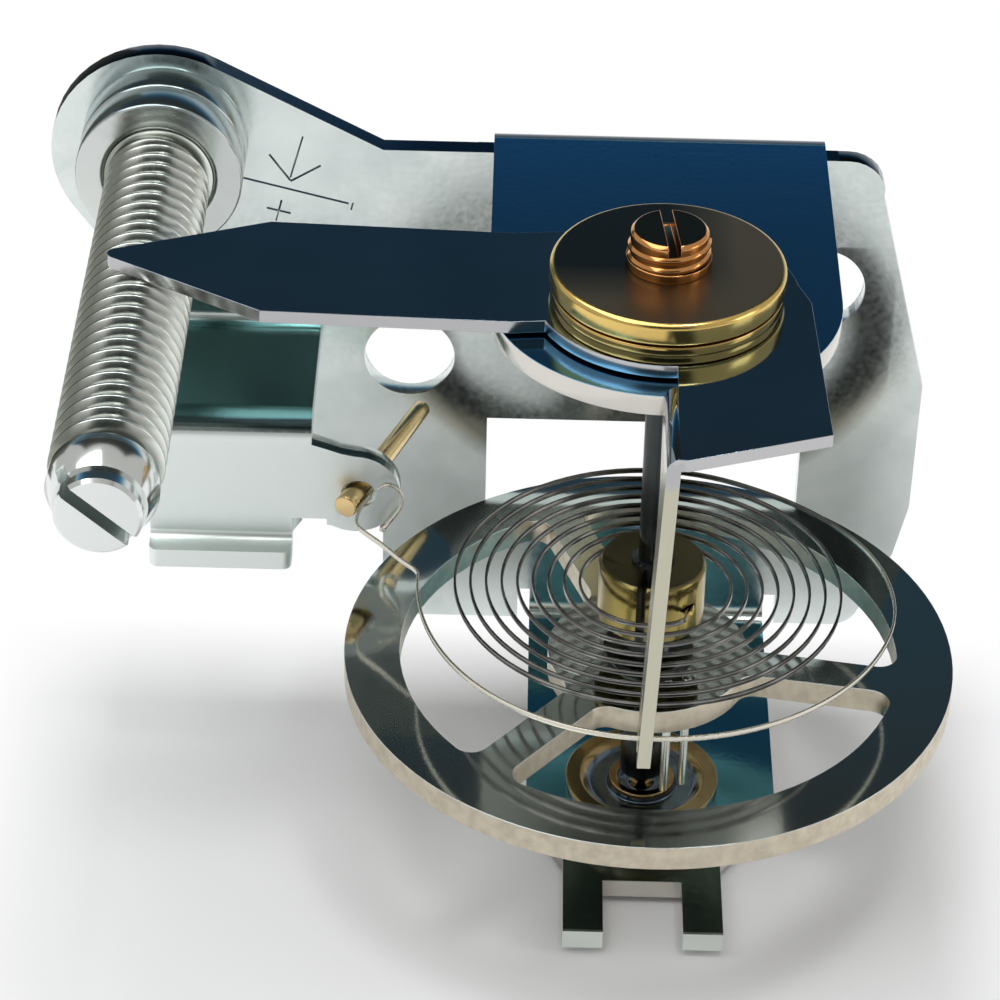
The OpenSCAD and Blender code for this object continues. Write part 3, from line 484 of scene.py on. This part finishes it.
def note_skyward(obj):
    # how far each face looks up, from -1 to 1, for tones that follow the faces
    mesh = obj.data
    facing = mesh.attributes.new("skyward", "FLOAT", "CORNER")
    values = [0.0] * len(mesh.loops)
    for face in mesh.polygons:
        for k in face.loop_indices:
            values[k] = face.normal.z
    facing.data.foreach_set("value", values)
    return obj


def skyward_tone(mat, spans, color, roughness=None, low=None, high=None, soft=0.1):
    # a tone for the faces whose skyward value lies in the span, inside a box where one is given
    n, link = mat.node_tree.nodes, mat.node_tree.links.new
    facing = n.new("ShaderNodeAttribute")
    facing.attribute_name = "skyward"
    share = n.new("ShaderNodeMapRange")
    share.inputs["From Min"].default_value, share.inputs["From Max"].default_value = spans
    link(facing.outputs["Fac"], share.inputs["Value"])
    amount = share.outputs["Result"]
    if low:
        amount = product(mat, in_box(mat, low, high, soft), amount)
    return toned(mat, amount, color, roughness)


def eased(node, edge=0.05, steps=2, sharp=28.0, cutters=()):
    # a copy of the solid with its edges broken as tumbling and plating leave them
    mesh = bpy.data.meshes.new(node + "_eased")
    bm = bmesh.new()
    bm.from_mesh(frame["nodes"][node].data)
    bmesh.ops.remove_doubles(bm, verts=bm.verts, dist=2e-7)
    bmesh.ops.dissolve_limit(bm, angle_limit=math.radians(0.4), verts=bm.verts, edges=bm.edges)
    bm.to_mesh(mesh)
    bm.free()
    obj = new_piece(node + "_eased", mesh)
    if edge:
        bevel = obj.modifiers.new("edge", "BEVEL")
        bevel.width = edge * MM
        bevel.segments = steps
        bevel.limit_method = "ANGLE"
        bevel.angle_limit = math.radians(sharp)
        bevel.use_clamp_overlap = True
        bevel.harden_normals = False
    for cutter in cutters:
        cut = obj.modifiers.new("cut", "BOOLEAN")
        cut.operation, cut.object, cut.solver = "DIFFERENCE", cutter, "EXACT"
    baked(obj)
    for cutter in cutters:
        bpy.data.objects.remove(cutter)
    return shade_edges(obj)


plate_face = -0.8


def stamped_stroke(name, start, end, width=0.1, depth=0.06):
    # a wedge shaped stroke of a punch mark, standing in the sheet's front face
    along = Vector((end[0] - start[0], 0, end[1] - start[1])).normalized()
    across = Vector((-along.z, 0, along.x)) * width / 2
    ends = [Vector((start[0], 0, start[1])) - along * width / 3,
            Vector((end[0], 0, end[1])) + along * width / 3]
    bm = bmesh.new()
    rows = []
    for out, grow in ((-0.05, 1.3), (depth, 0.45)):
        shift = Vector((0, plate_face + out, 0))
        pull = along * (0.0 if grow > 1 else width / 3)
        rows.append([bm.verts.new((tip + side * across * grow + inward * pull + shift) * MM)
                     for tip, side, inward in ((ends[0], -1, 1), (ends[1], -1, -1),
                                               (ends[1], 1, -1), (ends[0], 1, 1))])
    top, low = rows
    bm.faces.new(top[::-1])
    bm.faces.new(low)
    for i in range(4):
        bm.faces.new((top[i], top[(i + 1) % 4], low[(i + 1) % 4], low[i]))
    bmesh.ops.recalc_face_normals(bm, faces=bm.faces)
    mesh = bpy.data.meshes.new(name)
    bm.to_mesh(mesh)
    bm.free()
    return new_piece(name, mesh)


# an arrow that stands on a line, and a plus below it
strokes = {"line": ((-16.05, 8.05), (-11.9, 6.99)), "tick": ((-11.79, 6.72), (-11.72, 7.0)),
           "shaft": ((-14.13, 8.1), (-13.63, 9.89)), "barb_left": ((-14.15, 7.97), (-14.92, 9.07)),
           "barb_right": ((-14.12, 7.93), (-12.97, 8.64)),
           "plus_flat": ((-15.05, 6.71), (-14.15, 6.49)),
           "plus_upright": ((-14.71, 6.15), (-14.49, 7.05))}
marks = [stamped_stroke("stamp_" + name, start, end) for name, (start, end) in strokes.items()]


def block(name, low, high):
    mesh = bpy.data.meshes.new(name)
    bm = bmesh.new()
    size = [h - l for l, h in zip(low, high)]
    center = Vector([(l + h) / 2 for l, h in zip(low, high)])
    bmesh.ops.create_cube(bm, size=1, matrix=Matrix.Translation(center * MM)
                          @ Matrix.Diagonal((*[v * MM for v in size], 1)))
    bm.to_mesh(mesh)
    bm.free()
    return new_piece(name, mesh)


def merged(name, pieces):
    # several closed shells as one mesh
    bm = bmesh.new()
    for piece in pieces:
        bm.from_mesh(piece.data)
        bpy.data.objects.remove(piece)
    mesh = bpy.data.meshes.new(name)
    bm.to_mesh(mesh)
    bm.free()
    return new_piece(name, mesh)


# the sheet closes up round both bends, so no relief shows beside the tongue and the shelf
proud = 0.005
front, rear, plate_top = plate_face - proud, proud, 9.4
patches = [block("beside_tongue_left", (-6.93, front, 8.3), (-6.2, rear, plate_top + proud)),
           block("beside_tongue_right", (6.2, front, 8.3), (6.93, rear, plate_top + proud)),
           block("beside_shelf", (-13.5, front, -4.3), (-12.85, rear, 0.72))]
zinc = metal("bright_zinc", (0.80, 0.86, 0.84), (0.66, 0.73, 0.71), 0.20, spread=0.2, cloud=420,
             relief=0.5, bump=0.5)
edge_reflection_tone, tongue_reflection_blue, upper_reflection_blue = (0.66, 0.60, 0.54), (0.14, 0.46, 0.62), (0.14, 0.38, 0.62)
shelf_reflection_green, punch_shade, top_edge_reflection = (0.07, 0.16, 0.16), (0.20, 0.21, 0.22), (0.025, 0.05, 0.085)
# tops of the two tongues, the sheet's edge under them, and a distance past the whole part
lower_z, upper_z, under, wide = -12.45, 10.35, 0.9, 30
# painted reflection: the sheet's edges under both tongue tops are warmed as if they mirrored the
# lit paper in front
tinted(zinc, (-wide, -wide, lower_z - under), (wide, -1.2, lower_z + 0.01), edge_reflection_tone, 0.7)
# painted reflection: the prongs' front ends are paler, as the lit paper they face
tinted(zinc, (-wide, -21, lower_z - under), (wide, -19.9, lower_z + 0.01), (0.86, 0.92, 0.87))
tinted(zinc, (-wide, -wide, upper_z - under), (wide, -1.2, upper_z + 0.01), edge_reflection_tone, 0.7)
# painted reflections: dark on the prongs' tops, the blue room's colour on the tops of the lower
# and the upper tongue; painted shade in the stamped marks
tinted(zinc, (-wide, -20.6, lower_z - 0.05), (wide, -16.2, lower_z + 0.4), (0.10, 0.13, 0.11))
tinted(zinc, (-wide, -16.3, lower_z - 0.05), (wide, -1.3, lower_z + 0.4), tongue_reflection_blue,
       roughness=0.12)
tinted(zinc, (-wide, -wide, upper_z - 0.05), (wide, -1.3, upper_z + 0.4), upper_reflection_blue,
       roughness=0.14)
# painted shade in the floors of the stamped strokes
tinted(zinc, (-18, plate_face + 0.03, 5.5), (-11, -0.5, 10.5), punch_shade, soft=0.02)
# the stud lug; painted reflections of the dark room on the top of the shelf and on the upper edges
# of the lug and of the plate
tinted(zinc, (-19.6, -11.6, -6), (-8.5, -7.4, 1.2), (0.84, 0.90, 0.88), soft=0.3, roughness=0.42)
skyward_tone(zinc, (0.35, 0.8), shelf_reflection_green, 0.24, (-19.6, -8.0, 0.4), (-12.8, -0.6, 2.2))
skyward_tone(zinc, (0.3, 0.8), (0.05, 0.09, 0.10), 0.2, (-19.6, -8.9, -2.2), (-8.5, -7.2, 2.2))
skyward_tone(zinc, (0.2, 0.7), top_edge_reflection, 0.14, (-wide, -1.3, 2.3), (wide, 0.2, 14))
# the hub's dark mirror image in the plate's face
halo = (0, 0, 1.5), (1, 0, 1.22)
ring = product(zinc, in_ring(zinc, *halo, 7.5, 8.3), in_ring(zinc, *halo, 10.1, 9.1))
on_face = in_box(zinc, (-10.5, -0.9, -6), (9.6, -0.6, 5.6), 0.1)
toned(zinc, product(zinc, product(zinc, ring, 0.85), on_face), (0.17, 0.18, 0.175))
sheet = merged("sheet_frame", [eased("frame", 0.07, cutters=marks)] + patches)
adopt(note_skyward(shade_edges(sheet)), "frame", zinc)

# Bush, collar and ring on the rod
# Turned steel, nickel plated. The bush is staked in the ear's hole, the collar is pressed on the
# rod in front of it, and the ring lies under the rod's riveted tail behind it.
turned = metal("turned_steel", (0.70, 0.73, 0.71), (0.55, 0.58, 0.57), 0.18, spread=0.12)
# painted reflection: faces that look up are darker blue-grey, as the dark room they mirror
skyward_tone(turned, (0.15, 0.75), (0.38, 0.46, 0.48), 0.18)
for ring in ("screw_bush", "screw_collar", "retaining_ring"):
    adopt(note_skyward(eased(ring, 0.09)), ring, turned)

# Adjusting rod
# Thread rolled steel, bright plated, turned down at the front with a sawn slot and riveted over at
# the back. The thread is one ridge swept along a helix over a plain core.
axis_x, axis_z, balance_y = -18.9, 9.6, -13.1
pitch, crest_r, root_r = 0.7, 1.97, 1.57


def revolved(name, profile, center, sides=96):
    # a turned solid from points of distance in front of its center and radius, ends on the axis
    bm = bmesh.new()
    rings = []
    for far, radius in profile:
        count = sides if radius > 1e-6 else 1
        ring = []
        for i in range(count):
            a = 2 * math.pi * i / sides
            spot = (radius * math.cos(a), -far, radius * math.sin(a))
            ring.append(bm.verts.new((Vector(center) + Vector(spot)) * MM))
        rings.append(ring)
    for one, two in zip(rings, rings[1:]):
        for i in range(sides):
            j = (i + 1) % sides
            loop = [one[i % len(one)], one[j % len(one)], two[j % len(two)], two[i % len(two)]]
            face = [v for k, v in enumerate(loop) if v not in loop[:k]]
            bm.faces.new(face)
    bmesh.ops.recalc_face_normals(bm, faces=bm.faces)
    mesh = bpy.data.meshes.new(name)
    bm.to_mesh(mesh)
    bm.free()
    return new_piece(name, mesh)


def sweep_tree(name, shape):
    # geometry nodes: a flat section carried along a chain of points, its side given at each point
    tree = bpy.data.node_groups.new(name, "GeometryNodeTree")
    tree.interface.new_socket(name="Chain", in_out="INPUT", socket_type="NodeSocketGeometry")
    tree.interface.new_socket(name="Metal", in_out="INPUT", socket_type="NodeSocketMaterial")
    for size in ("Across", "Base Length", "Crest Length", "Corner"):
        tree.interface.new_socket(name=size, in_out="INPUT", socket_type="NodeSocketFloat")
    tree.interface.new_socket(name="Solid", in_out="OUTPUT", socket_type="NodeSocketGeometry")
    n, link = tree.nodes, tree.links.new
    gin, gout = n.new("NodeGroupInput"), n.new("NodeGroupOutput")
    line = n.new("GeometryNodeMeshToCurve")
    side = n.new("GeometryNodeInputNamedAttribute")
    side.data_type = "FLOAT_VECTOR"
    side.inputs["Name"].default_value = "side"
    steer = n.new("GeometryNodeSetCurveNormal")
    steer.mode = "FREE"
    section = n.new("GeometryNodeCurvePrimitiveQuadrilateral")
    section.mode = shape
    turn = n.new("GeometryNodeTransform")
    turn.inputs["Rotation"].default_value = (0, 0, -math.pi / 2 if shape == "TRAPEZOID" else 0)
    corner = n.new("GeometryNodeFilletCurve")
    corner.mode = "POLY"
    corner.inputs["Count"].default_value = 2
    corner.inputs["Limit Radius"].default_value = True
    solid = n.new("GeometryNodeCurveToMesh")
    solid.inputs["Fill Caps"].default_value = True
    real = n.new("GeometryNodeRealizeInstances")
    coat = n.new("GeometryNodeSetMaterial")
    link(gin.outputs["Chain"], line.inputs["Mesh"])
    link(line.outputs[0], steer.inputs["Curve"])
    link(side.outputs["Attribute"], steer.inputs["Normal"])
    if shape == "TRAPEZOID":
        link(gin.outputs["Across"], section.inputs["Height"])
        link(gin.outputs["Base Length"], section.inputs["Bottom Width"])
        link(gin.outputs["Crest Length"], section.inputs["Top Width"])
        section.inputs["Offset"].default_value = 0
    else:
        link(gin.outputs["Across"], section.inputs["Width"])
        link(gin.outputs["Base Length"], section.inputs["Height"])
    link(section.outputs[0], turn.inputs["Geometry"])
    link(turn.outputs[0], corner.inputs["Curve"])
    link(gin.outputs["Corner"], corner.inputs["Radius"])
    link(steer.outputs[0], solid.inputs["Curve"])
    link(corner.outputs[0], solid.inputs["Profile Curve"])
    link(solid.outputs[0], real.inputs[0])
    link(real.outputs[0], coat.inputs["Geometry"])
    link(gin.outputs["Metal"], coat.inputs["Material"])
    link(coat.outputs[0], gout.inputs[0])
    return tree


def swept(name, chain, tree, sizes, mat):
    # chain holds places in metres and the direction of the section's side
    mesh = bpy.data.meshes.new(name)
    mesh.from_pydata([tuple(place) for place, side in chain],
                     [(i, i + 1) for i in range(len(chain) - 1)], [])
    sides = mesh.attributes.new("side", "FLOAT_VECTOR", "POINT")
    sides.data.foreach_set("vector", [v for place, side in chain for v in side])
    obj = new_piece(name, mesh)
    grow = obj.modifiers.new("sweep", "NODES")
    grow.node_group = tree
    for item in tree.interface.items_tree:
        if item.in_out == "INPUT" and item.name in sizes:
            grow[item.identifier] = sizes[item.name] * MM
        elif item.in_out == "INPUT" and item.name == "Metal":
            grow[item.identifier] = mat
    baked(obj)
    bm = bmesh.new()
    bm.from_mesh(obj.data)
    bmesh.ops.remove_doubles(bm, verts=bm.verts, dist=1e-8)
    bmesh.ops.recalc_face_normals(bm, faces=bm.faces)
    bm.to_mesh(obj.data)
    bm.free()
    return obj


def helix(start, turns, from_angle, radius, lead, center, per_turn=64, fade=0.5, sink=0.4):
    # along Y from start, in front of the balance axis; the ridge sinks into the core at both ends
    chain = []
    count = int(turns * per_turn)
    for i in range(count + 1):
        t = i / per_turn
        low = min(1.0, t / fade, (turns - t) / fade)
        a = math.radians(from_angle) + 2 * math.pi * t
        r = radius - sink * (1 - max(0.0, low))
        out = Vector((math.cos(a), 0, math.sin(a)))
        chain.append(((Vector(center) + out * r + Vector((0, -(start + lead * t), 0))) * MM, out))
    return chain


rod_metal = metal("plated_rod", (0.90, 0.93, 0.88), (0.80, 0.84, 0.79), 0.22, spread=0.14)
rod_axis = (axis_x, 0, axis_z), (1, 0, 1)
# painted shade in the thread's roots
ring_tone(rod_metal, *rod_axis, 1.95, 1.7, (0.20, 0.215, 0.195), 0.85)
# the rod's left side in painted shade, the turned end and the slot in it
tinted(rod_metal, (-24, -24.3, 6), (axis_x - 0.6, -3, 13), (0.26, 0.28, 0.24), 0.9, soft=0.6)
tinted(rod_metal, (-25, -30, 5), (-10, -23.85, 14), (0.80, 0.83, 0.82), 1.0, roughness=0.14)
toned(rod_metal, product(rod_metal, in_ring(rod_metal, *rod_axis, 1.36, 1.3),
                         in_box(rod_metal, (-25, -25.66, 5), (-10, -23.8, 14), 0.04)),
      (0.50, 0.56, 0.54), 0.4)
ridge_tree = sweep_tree("thread_ridge", "TRAPEZOID")
thread_back, thread_front, nib_y, sunk = 9.8, 10.7, -0.2, 0.06
ridge_turns = (thread_back + thread_front) / pitch - 1
# a groove stands straight over the rod under the nib
turn_at_start = 90 + 360 * (nib_y - thread_back) / pitch
ridge = swept("ridge", helix(-thread_back + pitch / 2, ridge_turns, turn_at_start,
                             (crest_r + root_r - sunk) / 2, pitch, (axis_x, balance_y, axis_z)),
              ridge_tree, {"Across": crest_r - root_r + sunk, "Base Length": pitch * 0.98,
                           "Crest Length": 0.10, "Corner": 0.03}, rod_metal)
tail_r, journal_r, recess_r, end_r, nose = 1.2, 1.5, 2.05, 1.5, 12.6
core = revolved("core", [(-13.05, 0), (-13.05, 1.12), (-12.98, tail_r), (-12.53, tail_r),
                         (-12.53, journal_r), (-10.1, journal_r), (-10.1, recess_r),
                         (-9.42, recess_r), (-9.4, 2.0), (-9.4, root_r), (10.3, root_r),
                         (10.45, 1.9), (11.1, 1.92), (11.9, 1.6), (11.9, end_r), (12.48, end_r),
                         (nose, 1.38), (nose, 0)], (axis_x, balance_y, axis_z))
slot_turn, slot_w, slot_depth = 42, 0.46, 1.1
saw = block("slot_saw", (-3, -slot_depth, -slot_w / 2), (3, slot_depth, slot_w / 2))
saw.matrix_world = (Matrix.Translation(Vector((axis_x, balance_y - nose, axis_z)) * MM)
                    @ Matrix.Rotation(math.radians(slot_turn), 4, "Y"))
sawn = core.modifiers.new("slot", "BOOLEAN")
sawn.operation, sawn.object, sawn.solver = "DIFFERENCE", saw, "EXACT"
baked(core)
bpy.data.objects.remove(saw)
rod = shade_edges(merged("rod", [ridge, core]), 40)
adopt(rod, "adjusting_screw", rod_metal)

# Regulator
# Thin hard sheet, blanked and polished, held by friction between the washer and the brass discs.
# The curb strip is bent down from its flag and is given a warmer, rougher tone.
# painted reflection: the polished sheet is coloured navy where it faces up, as the dark blue room
# it mirrors; faces turned from the sky get a plain grey
polished = metal("polished_sheet", (0.34, 0.42, 0.50), (0.28, 0.36, 0.44), 0.05, spread=0.05,
                 relief=0.1)
skyward_tone(polished, (0.75, 0.35), (0.52, 0.52, 0.53), 0.2)
tinted(polished, (-wide, -wide, -20), (wide, 0, 9.9), (0.60, 0.58, 0.46), 1.0, soft=0.3,
       roughness=0.26)
adopt(note_skyward(eased("regulator", 0.05)), "regulator", polished)

# Brass discs, washer and bearing screw
# Turned brass with rounded rims, the upper one riveted through the tongue. The screw in it is
# copper coloured bronze with a sawn slot.
brass = metal("turned_brass", (0.66, 0.46, 0.16), (0.50, 0.34, 0.11), 0.16, spread=0.12)
disc_metal = metal("brass_disc", (0.84, 0.60, 0.20), (0.66, 0.45, 0.14), 0.2, spread=0.14)
# painted reflection: the discs' tops are darkened as the dark room they mirror, darkest toward the
# left and the back
skyward_tone(disc_metal, (0.93, 0.995), (0.25, 0.19, 0.12), 0.34)
skyward_tone(disc_metal, (0.93, 0.995), (0.022, 0.032, 0.032), 0.3, (-9, -15.8, 0),
             (2.5, -5, 25), 2.4)
adopt(eased("regulator_washer", 0), "regulator_washer", brass)
adopt(eased("pressure_ring", 0.05), "pressure_ring", brass)
adopt(note_skyward(eased("upper_bush", 0.16, steps=4)), "upper_bush", disc_metal)
copper = metal("copper_tone", (0.80, 0.38, 0.13), (0.50, 0.22, 0.08), 0.12, spread=0.08)
# painted reflection: the screw's upward faces are darkened
skyward_tone(copper, (0.8, 1.0), (0.09, 0.07, 0.045), 0.2)
screw_r, screw_pitch, screw_foot, screw_steps = 1.40, 0.42, 12.33, 60
coil = []
for i in range(2 * screw_steps + 1):
    a = 2 * math.pi * i / screw_steps
    side = Vector((math.cos(a), math.sin(a), 0))
    center = Vector((0, balance_y, screw_foot + screw_pitch * i / screw_steps))
    coil.append(((center + side * screw_r) * MM, side))
screw_ridge = swept("screw_ridge", coil, ridge_tree,
                    {"Across": 0.14, "Base Length": 0.40, "Crest Length": 0.1, "Corner": 0.03},
                    copper)
screw = merged("slotted_screw", [eased("bearing_screw", 0.2, steps=4), screw_ridge])
adopt(note_skyward(shade_edges(screw, 35)), "bearing_screw", copper)

# Balance
# Pressed wheel of nickel silver, flat lapped on top and riveted to the staff, with two steel pins
# under its hub. The split collet of brass holds the spring.
wheel_metal = metal("balance_metal", (0.64, 0.58, 0.46), (0.52, 0.46, 0.36), 0.36, spread=0.16,
                    cloud=2200, relief=0.25, bump=0.3)
wheel_top = -4.95
tinted(wheel_metal, (-wide, -wide, wheel_top - 0.05), (wide, 0, wheel_top + 0.45),
       (0.58, 0.62, 0.60), 1.0, soft=0.03, roughness=0.08)
adopt(eased("balance_wheel", 0.05), "balance_wheel", wheel_metal)
staff_metal = metal("dark_steel", (0.075, 0.085, 0.085), (0.05, 0.055, 0.055), 0.22)
for name in ("balance_staff", "roller_sleeve"):
    adopt(eased(name, 0.02), name, staff_metal)
adopt(eased("impulse_pins", 0.04), "impulse_pins", rod_metal)
collet_brass = metal("collet_brass", (0.44, 0.35, 0.11), (0.22, 0.18, 0.07), 0.2, spread=0.16,
                     cloud=700)
# painted reflection: the collet's top is darkened
tinted(collet_brass, (-4, -18, -0.84), (4, -9, -0.4), (0.09, 0.08, 0.045), 0.9, soft=0.12)
adopt(eased("collet", 0.04), "collet", collet_brass)
adopt(eased("collet_pin", 0), "collet_pin", brass)

# Hairspring and stud pin
# One cold rolled ribbon wound to a flat spiral. The outer turn rises through the curb to the
# stud pin, a taper pin of brass that wedges the ribbon in the lug, and ends in a curl.
# heights here start at the lower bush's riveted foot, as in the part's source
spring_z = 11.65
collet_r, first_gap, spiral_pitch, spiral_turns, outer_r = 2.0, 0.5, 0.585, 8.63, 9.15
pin_angle = -70.0
hole_angle = pin_angle + 62
pin_out = collet_r - 0.45


def polar(r, degrees, z=spring_z):
    a = math.radians(degrees)
    return Vector((r * math.cos(a), r * math.sin(a), z))


def ease(t):
    return 0.0 if t <= 0 else 1.0 if t >= 1 else t * t * (3 - 2 * t)


hole_out = polar(1, hole_angle, 0)
hole_along = Vector((hole_out.y, -hole_out.x, 0))
ribbon = [(hole_out * (pin_out - 0.07) + hole_along * far + Vector((0, 0, spring_z)), hole_out)
          for far in (0.1, 0.6, 1.1, 1.42)]
inner_r = collet_r + first_gap
for before, sunk in ((10, 0.09), (5, 0.03)):
    a = pin_angle + before
    ribbon.append((polar(inner_r - sunk, a), polar(1, a + 12, 0)))
fine = 90
steps = round(spiral_turns * fine)
for i in range(steps + 1):
    t = i * spiral_turns / steps
    a = pin_angle - 360 * t
    ribbon.append((polar(inner_r + spiral_pitch * t, a), polar(1, a, 0)))
spiral_end = inner_r + spiral_pitch * spiral_turns
leave = pin_angle - 360 * spiral_turns
sweep, rise_steps = 82.0, 27
for i in range(1, rise_steps + 1):
    t = i / rise_steps
    a = leave - sweep * t
    r = spiral_end + (outer_r - spiral_end) * ease(t) + spiral_pitch * sweep / 360 * (1 - t) * t
    ribbon.append((polar(r, a), polar(1, a, 0)))
arc_from, arc_to, arc_steps = leave - sweep, -182.0 - 360 * 9, 54
knee_r = outer_r - 0.4
for i in range(1, arc_steps + 1):
    t = i / arc_steps
    a = arc_from + (arc_to - arc_from) * t
    r = outer_r + (knee_r - outer_r) * ease((t - 0.55) / 0.45)
    ribbon.append((polar(r, a), polar(1, a, 0)))
stud_turn, stud_x, lug_y, sheet = math.radians(21.3), -11.35, 5.4, 0.8
s, c = math.sin(stud_turn), math.cos(stud_turn)
beside, lug_back, curl_y = 0.56, lug_y + sheet, lug_y - 0.35


def by_pin(far, side):
    return Vector((stud_x + side * c + far * s, lug_y + far * c - side * s, 0))


run = [by_pin(-1.5, beside + 0.1), by_pin(-0.7, beside), by_pin(0, beside),
       by_pin(sheet / c + 0.25, beside)]
tail = [((-9.45, 1.2, 0), (-0.75, -0.65, 0)), ((-10.2, 2.15, 0), (-0.75, -0.65, 0)),
        (run[0] + Vector((0.2, -0.6, 0)), (-0.9, -0.4, 0)),
        (run[0] + Vector((0.08, 0, 0)), (-1, -0.2, 0)),
        (run[1], (-c, s, 0)), (run[2], (-c, s, 0)), (run[3], (-c, s, 0)),
        ((run[3].x + 0.35, lug_back + 0.6, -0.3), (-0.6, 0.8, 0.2)),
        ((run[3].x + 0.6, lug_back + 0.5, -1.1), (-0.6, 0.8, 0)),
        ((-10.25, lug_back - 0.2, -1.75), (-0.3, 0.3, -0.9)),
        ((-10.3, lug_y - 0.2, -1.55), (-0.5, -0.5, -0.7)),
        ((-9.95, curl_y, -0.95), (0.75, 0, -0.65)),
        ((-9.6, curl_y, -0.4), (0.9, 0, -0.4)), ((-9.5, curl_y, 0.05), (1, 0, 0.1)),
        ((-9.65, curl_y, 0.5), (0.75, 0, 0.65)), ((-10.05, curl_y, 0.75), (0, 0, 1)),
        ((-10.45, curl_y - 0.1, 0.62), (-0.45, 0, 0.9))]
coarse = (arc_to - arc_from) / 18
chain = [(polar(knee_r + 0.02, arc_to - coarse), polar(1, arc_to - coarse, 0)), ribbon[-1]]
chain += [(Vector(p) + Vector((0, 0, spring_z)), Vector(d).normalized()) for p, d in tail]


def between(a, b, c, d, t):
    # a smooth way from b to c that also heeds the points before and after
    return 0.5 * (2 * b + (c - a) * t + (2 * a - 5 * b + 4 * c - d) * t ** 2
                  + (3 * b - a - 3 * c + d) * t ** 3)


for i in range(1, len(chain) - 1):
    far = min(len(chain) - 1, i + 2)
    for k in range(1, 9):
        ribbon.append(tuple(between(chain[i - 1][w], chain[i][w], chain[i + 1][w], chain[far][w],
                                    k / 8) for w in (0, 1)))
# from the balance's axis and the riveted foot to the shared frame
shared = Vector((0, balance_y, -13.55))
spring_metal = metal("spring_ribbon", (0.25, 0.245, 0.235), (0.11, 0.11, 0.105), 0.12, spread=0.1,
                     cloud=900)
# painted highlight: the outer turn is lighter and warmer than the body
ring_tone(spring_metal, (0, balance_y, 0), (1, 1, 0), 8.1, 8.6, (0.80, 0.76, 0.66), 0.85, 0.3)
ribbon_tree = sweep_tree("spring_ribbon", "RECTANGLE")
spring = swept("spring", [((p + shared) * MM, Vector(d).normalized()) for p, d in ribbon],
               ribbon_tree, {"Across": 0.1, "Base Length": 0.2, "Corner": 0.02}, spring_metal)
adopt(shade_edges(spring, 60), "hairspring", spring_metal)
pin_brass = metal("pin_brass", (0.80, 0.62, 0.34), (0.62, 0.44, 0.20), 0.2, spread=0.12)
adopt(eased("stud_pin", 0.06), "stud_pin", pin_brass)

# Lower bush
# Turned brass cup riveted in the lower tongue, its dish polished, with a painted reflection of the
# dark blue room in the dish.
cup = metal("bush_brass", (0.42, 0.31, 0.15), (0.24, 0.17, 0.08), 0.14, spread=0.1)
# painted reflection: the dish floor is coloured dark blue as the room it mirrors
tinted(cup, (-3, -16.1, -11.46), (3, -10, -11.22), (0.11, 0.17, 0.24), 0.9, soft=0.05)
adopt(eased("lower_bush", 0.05), "lower_bush", cup)
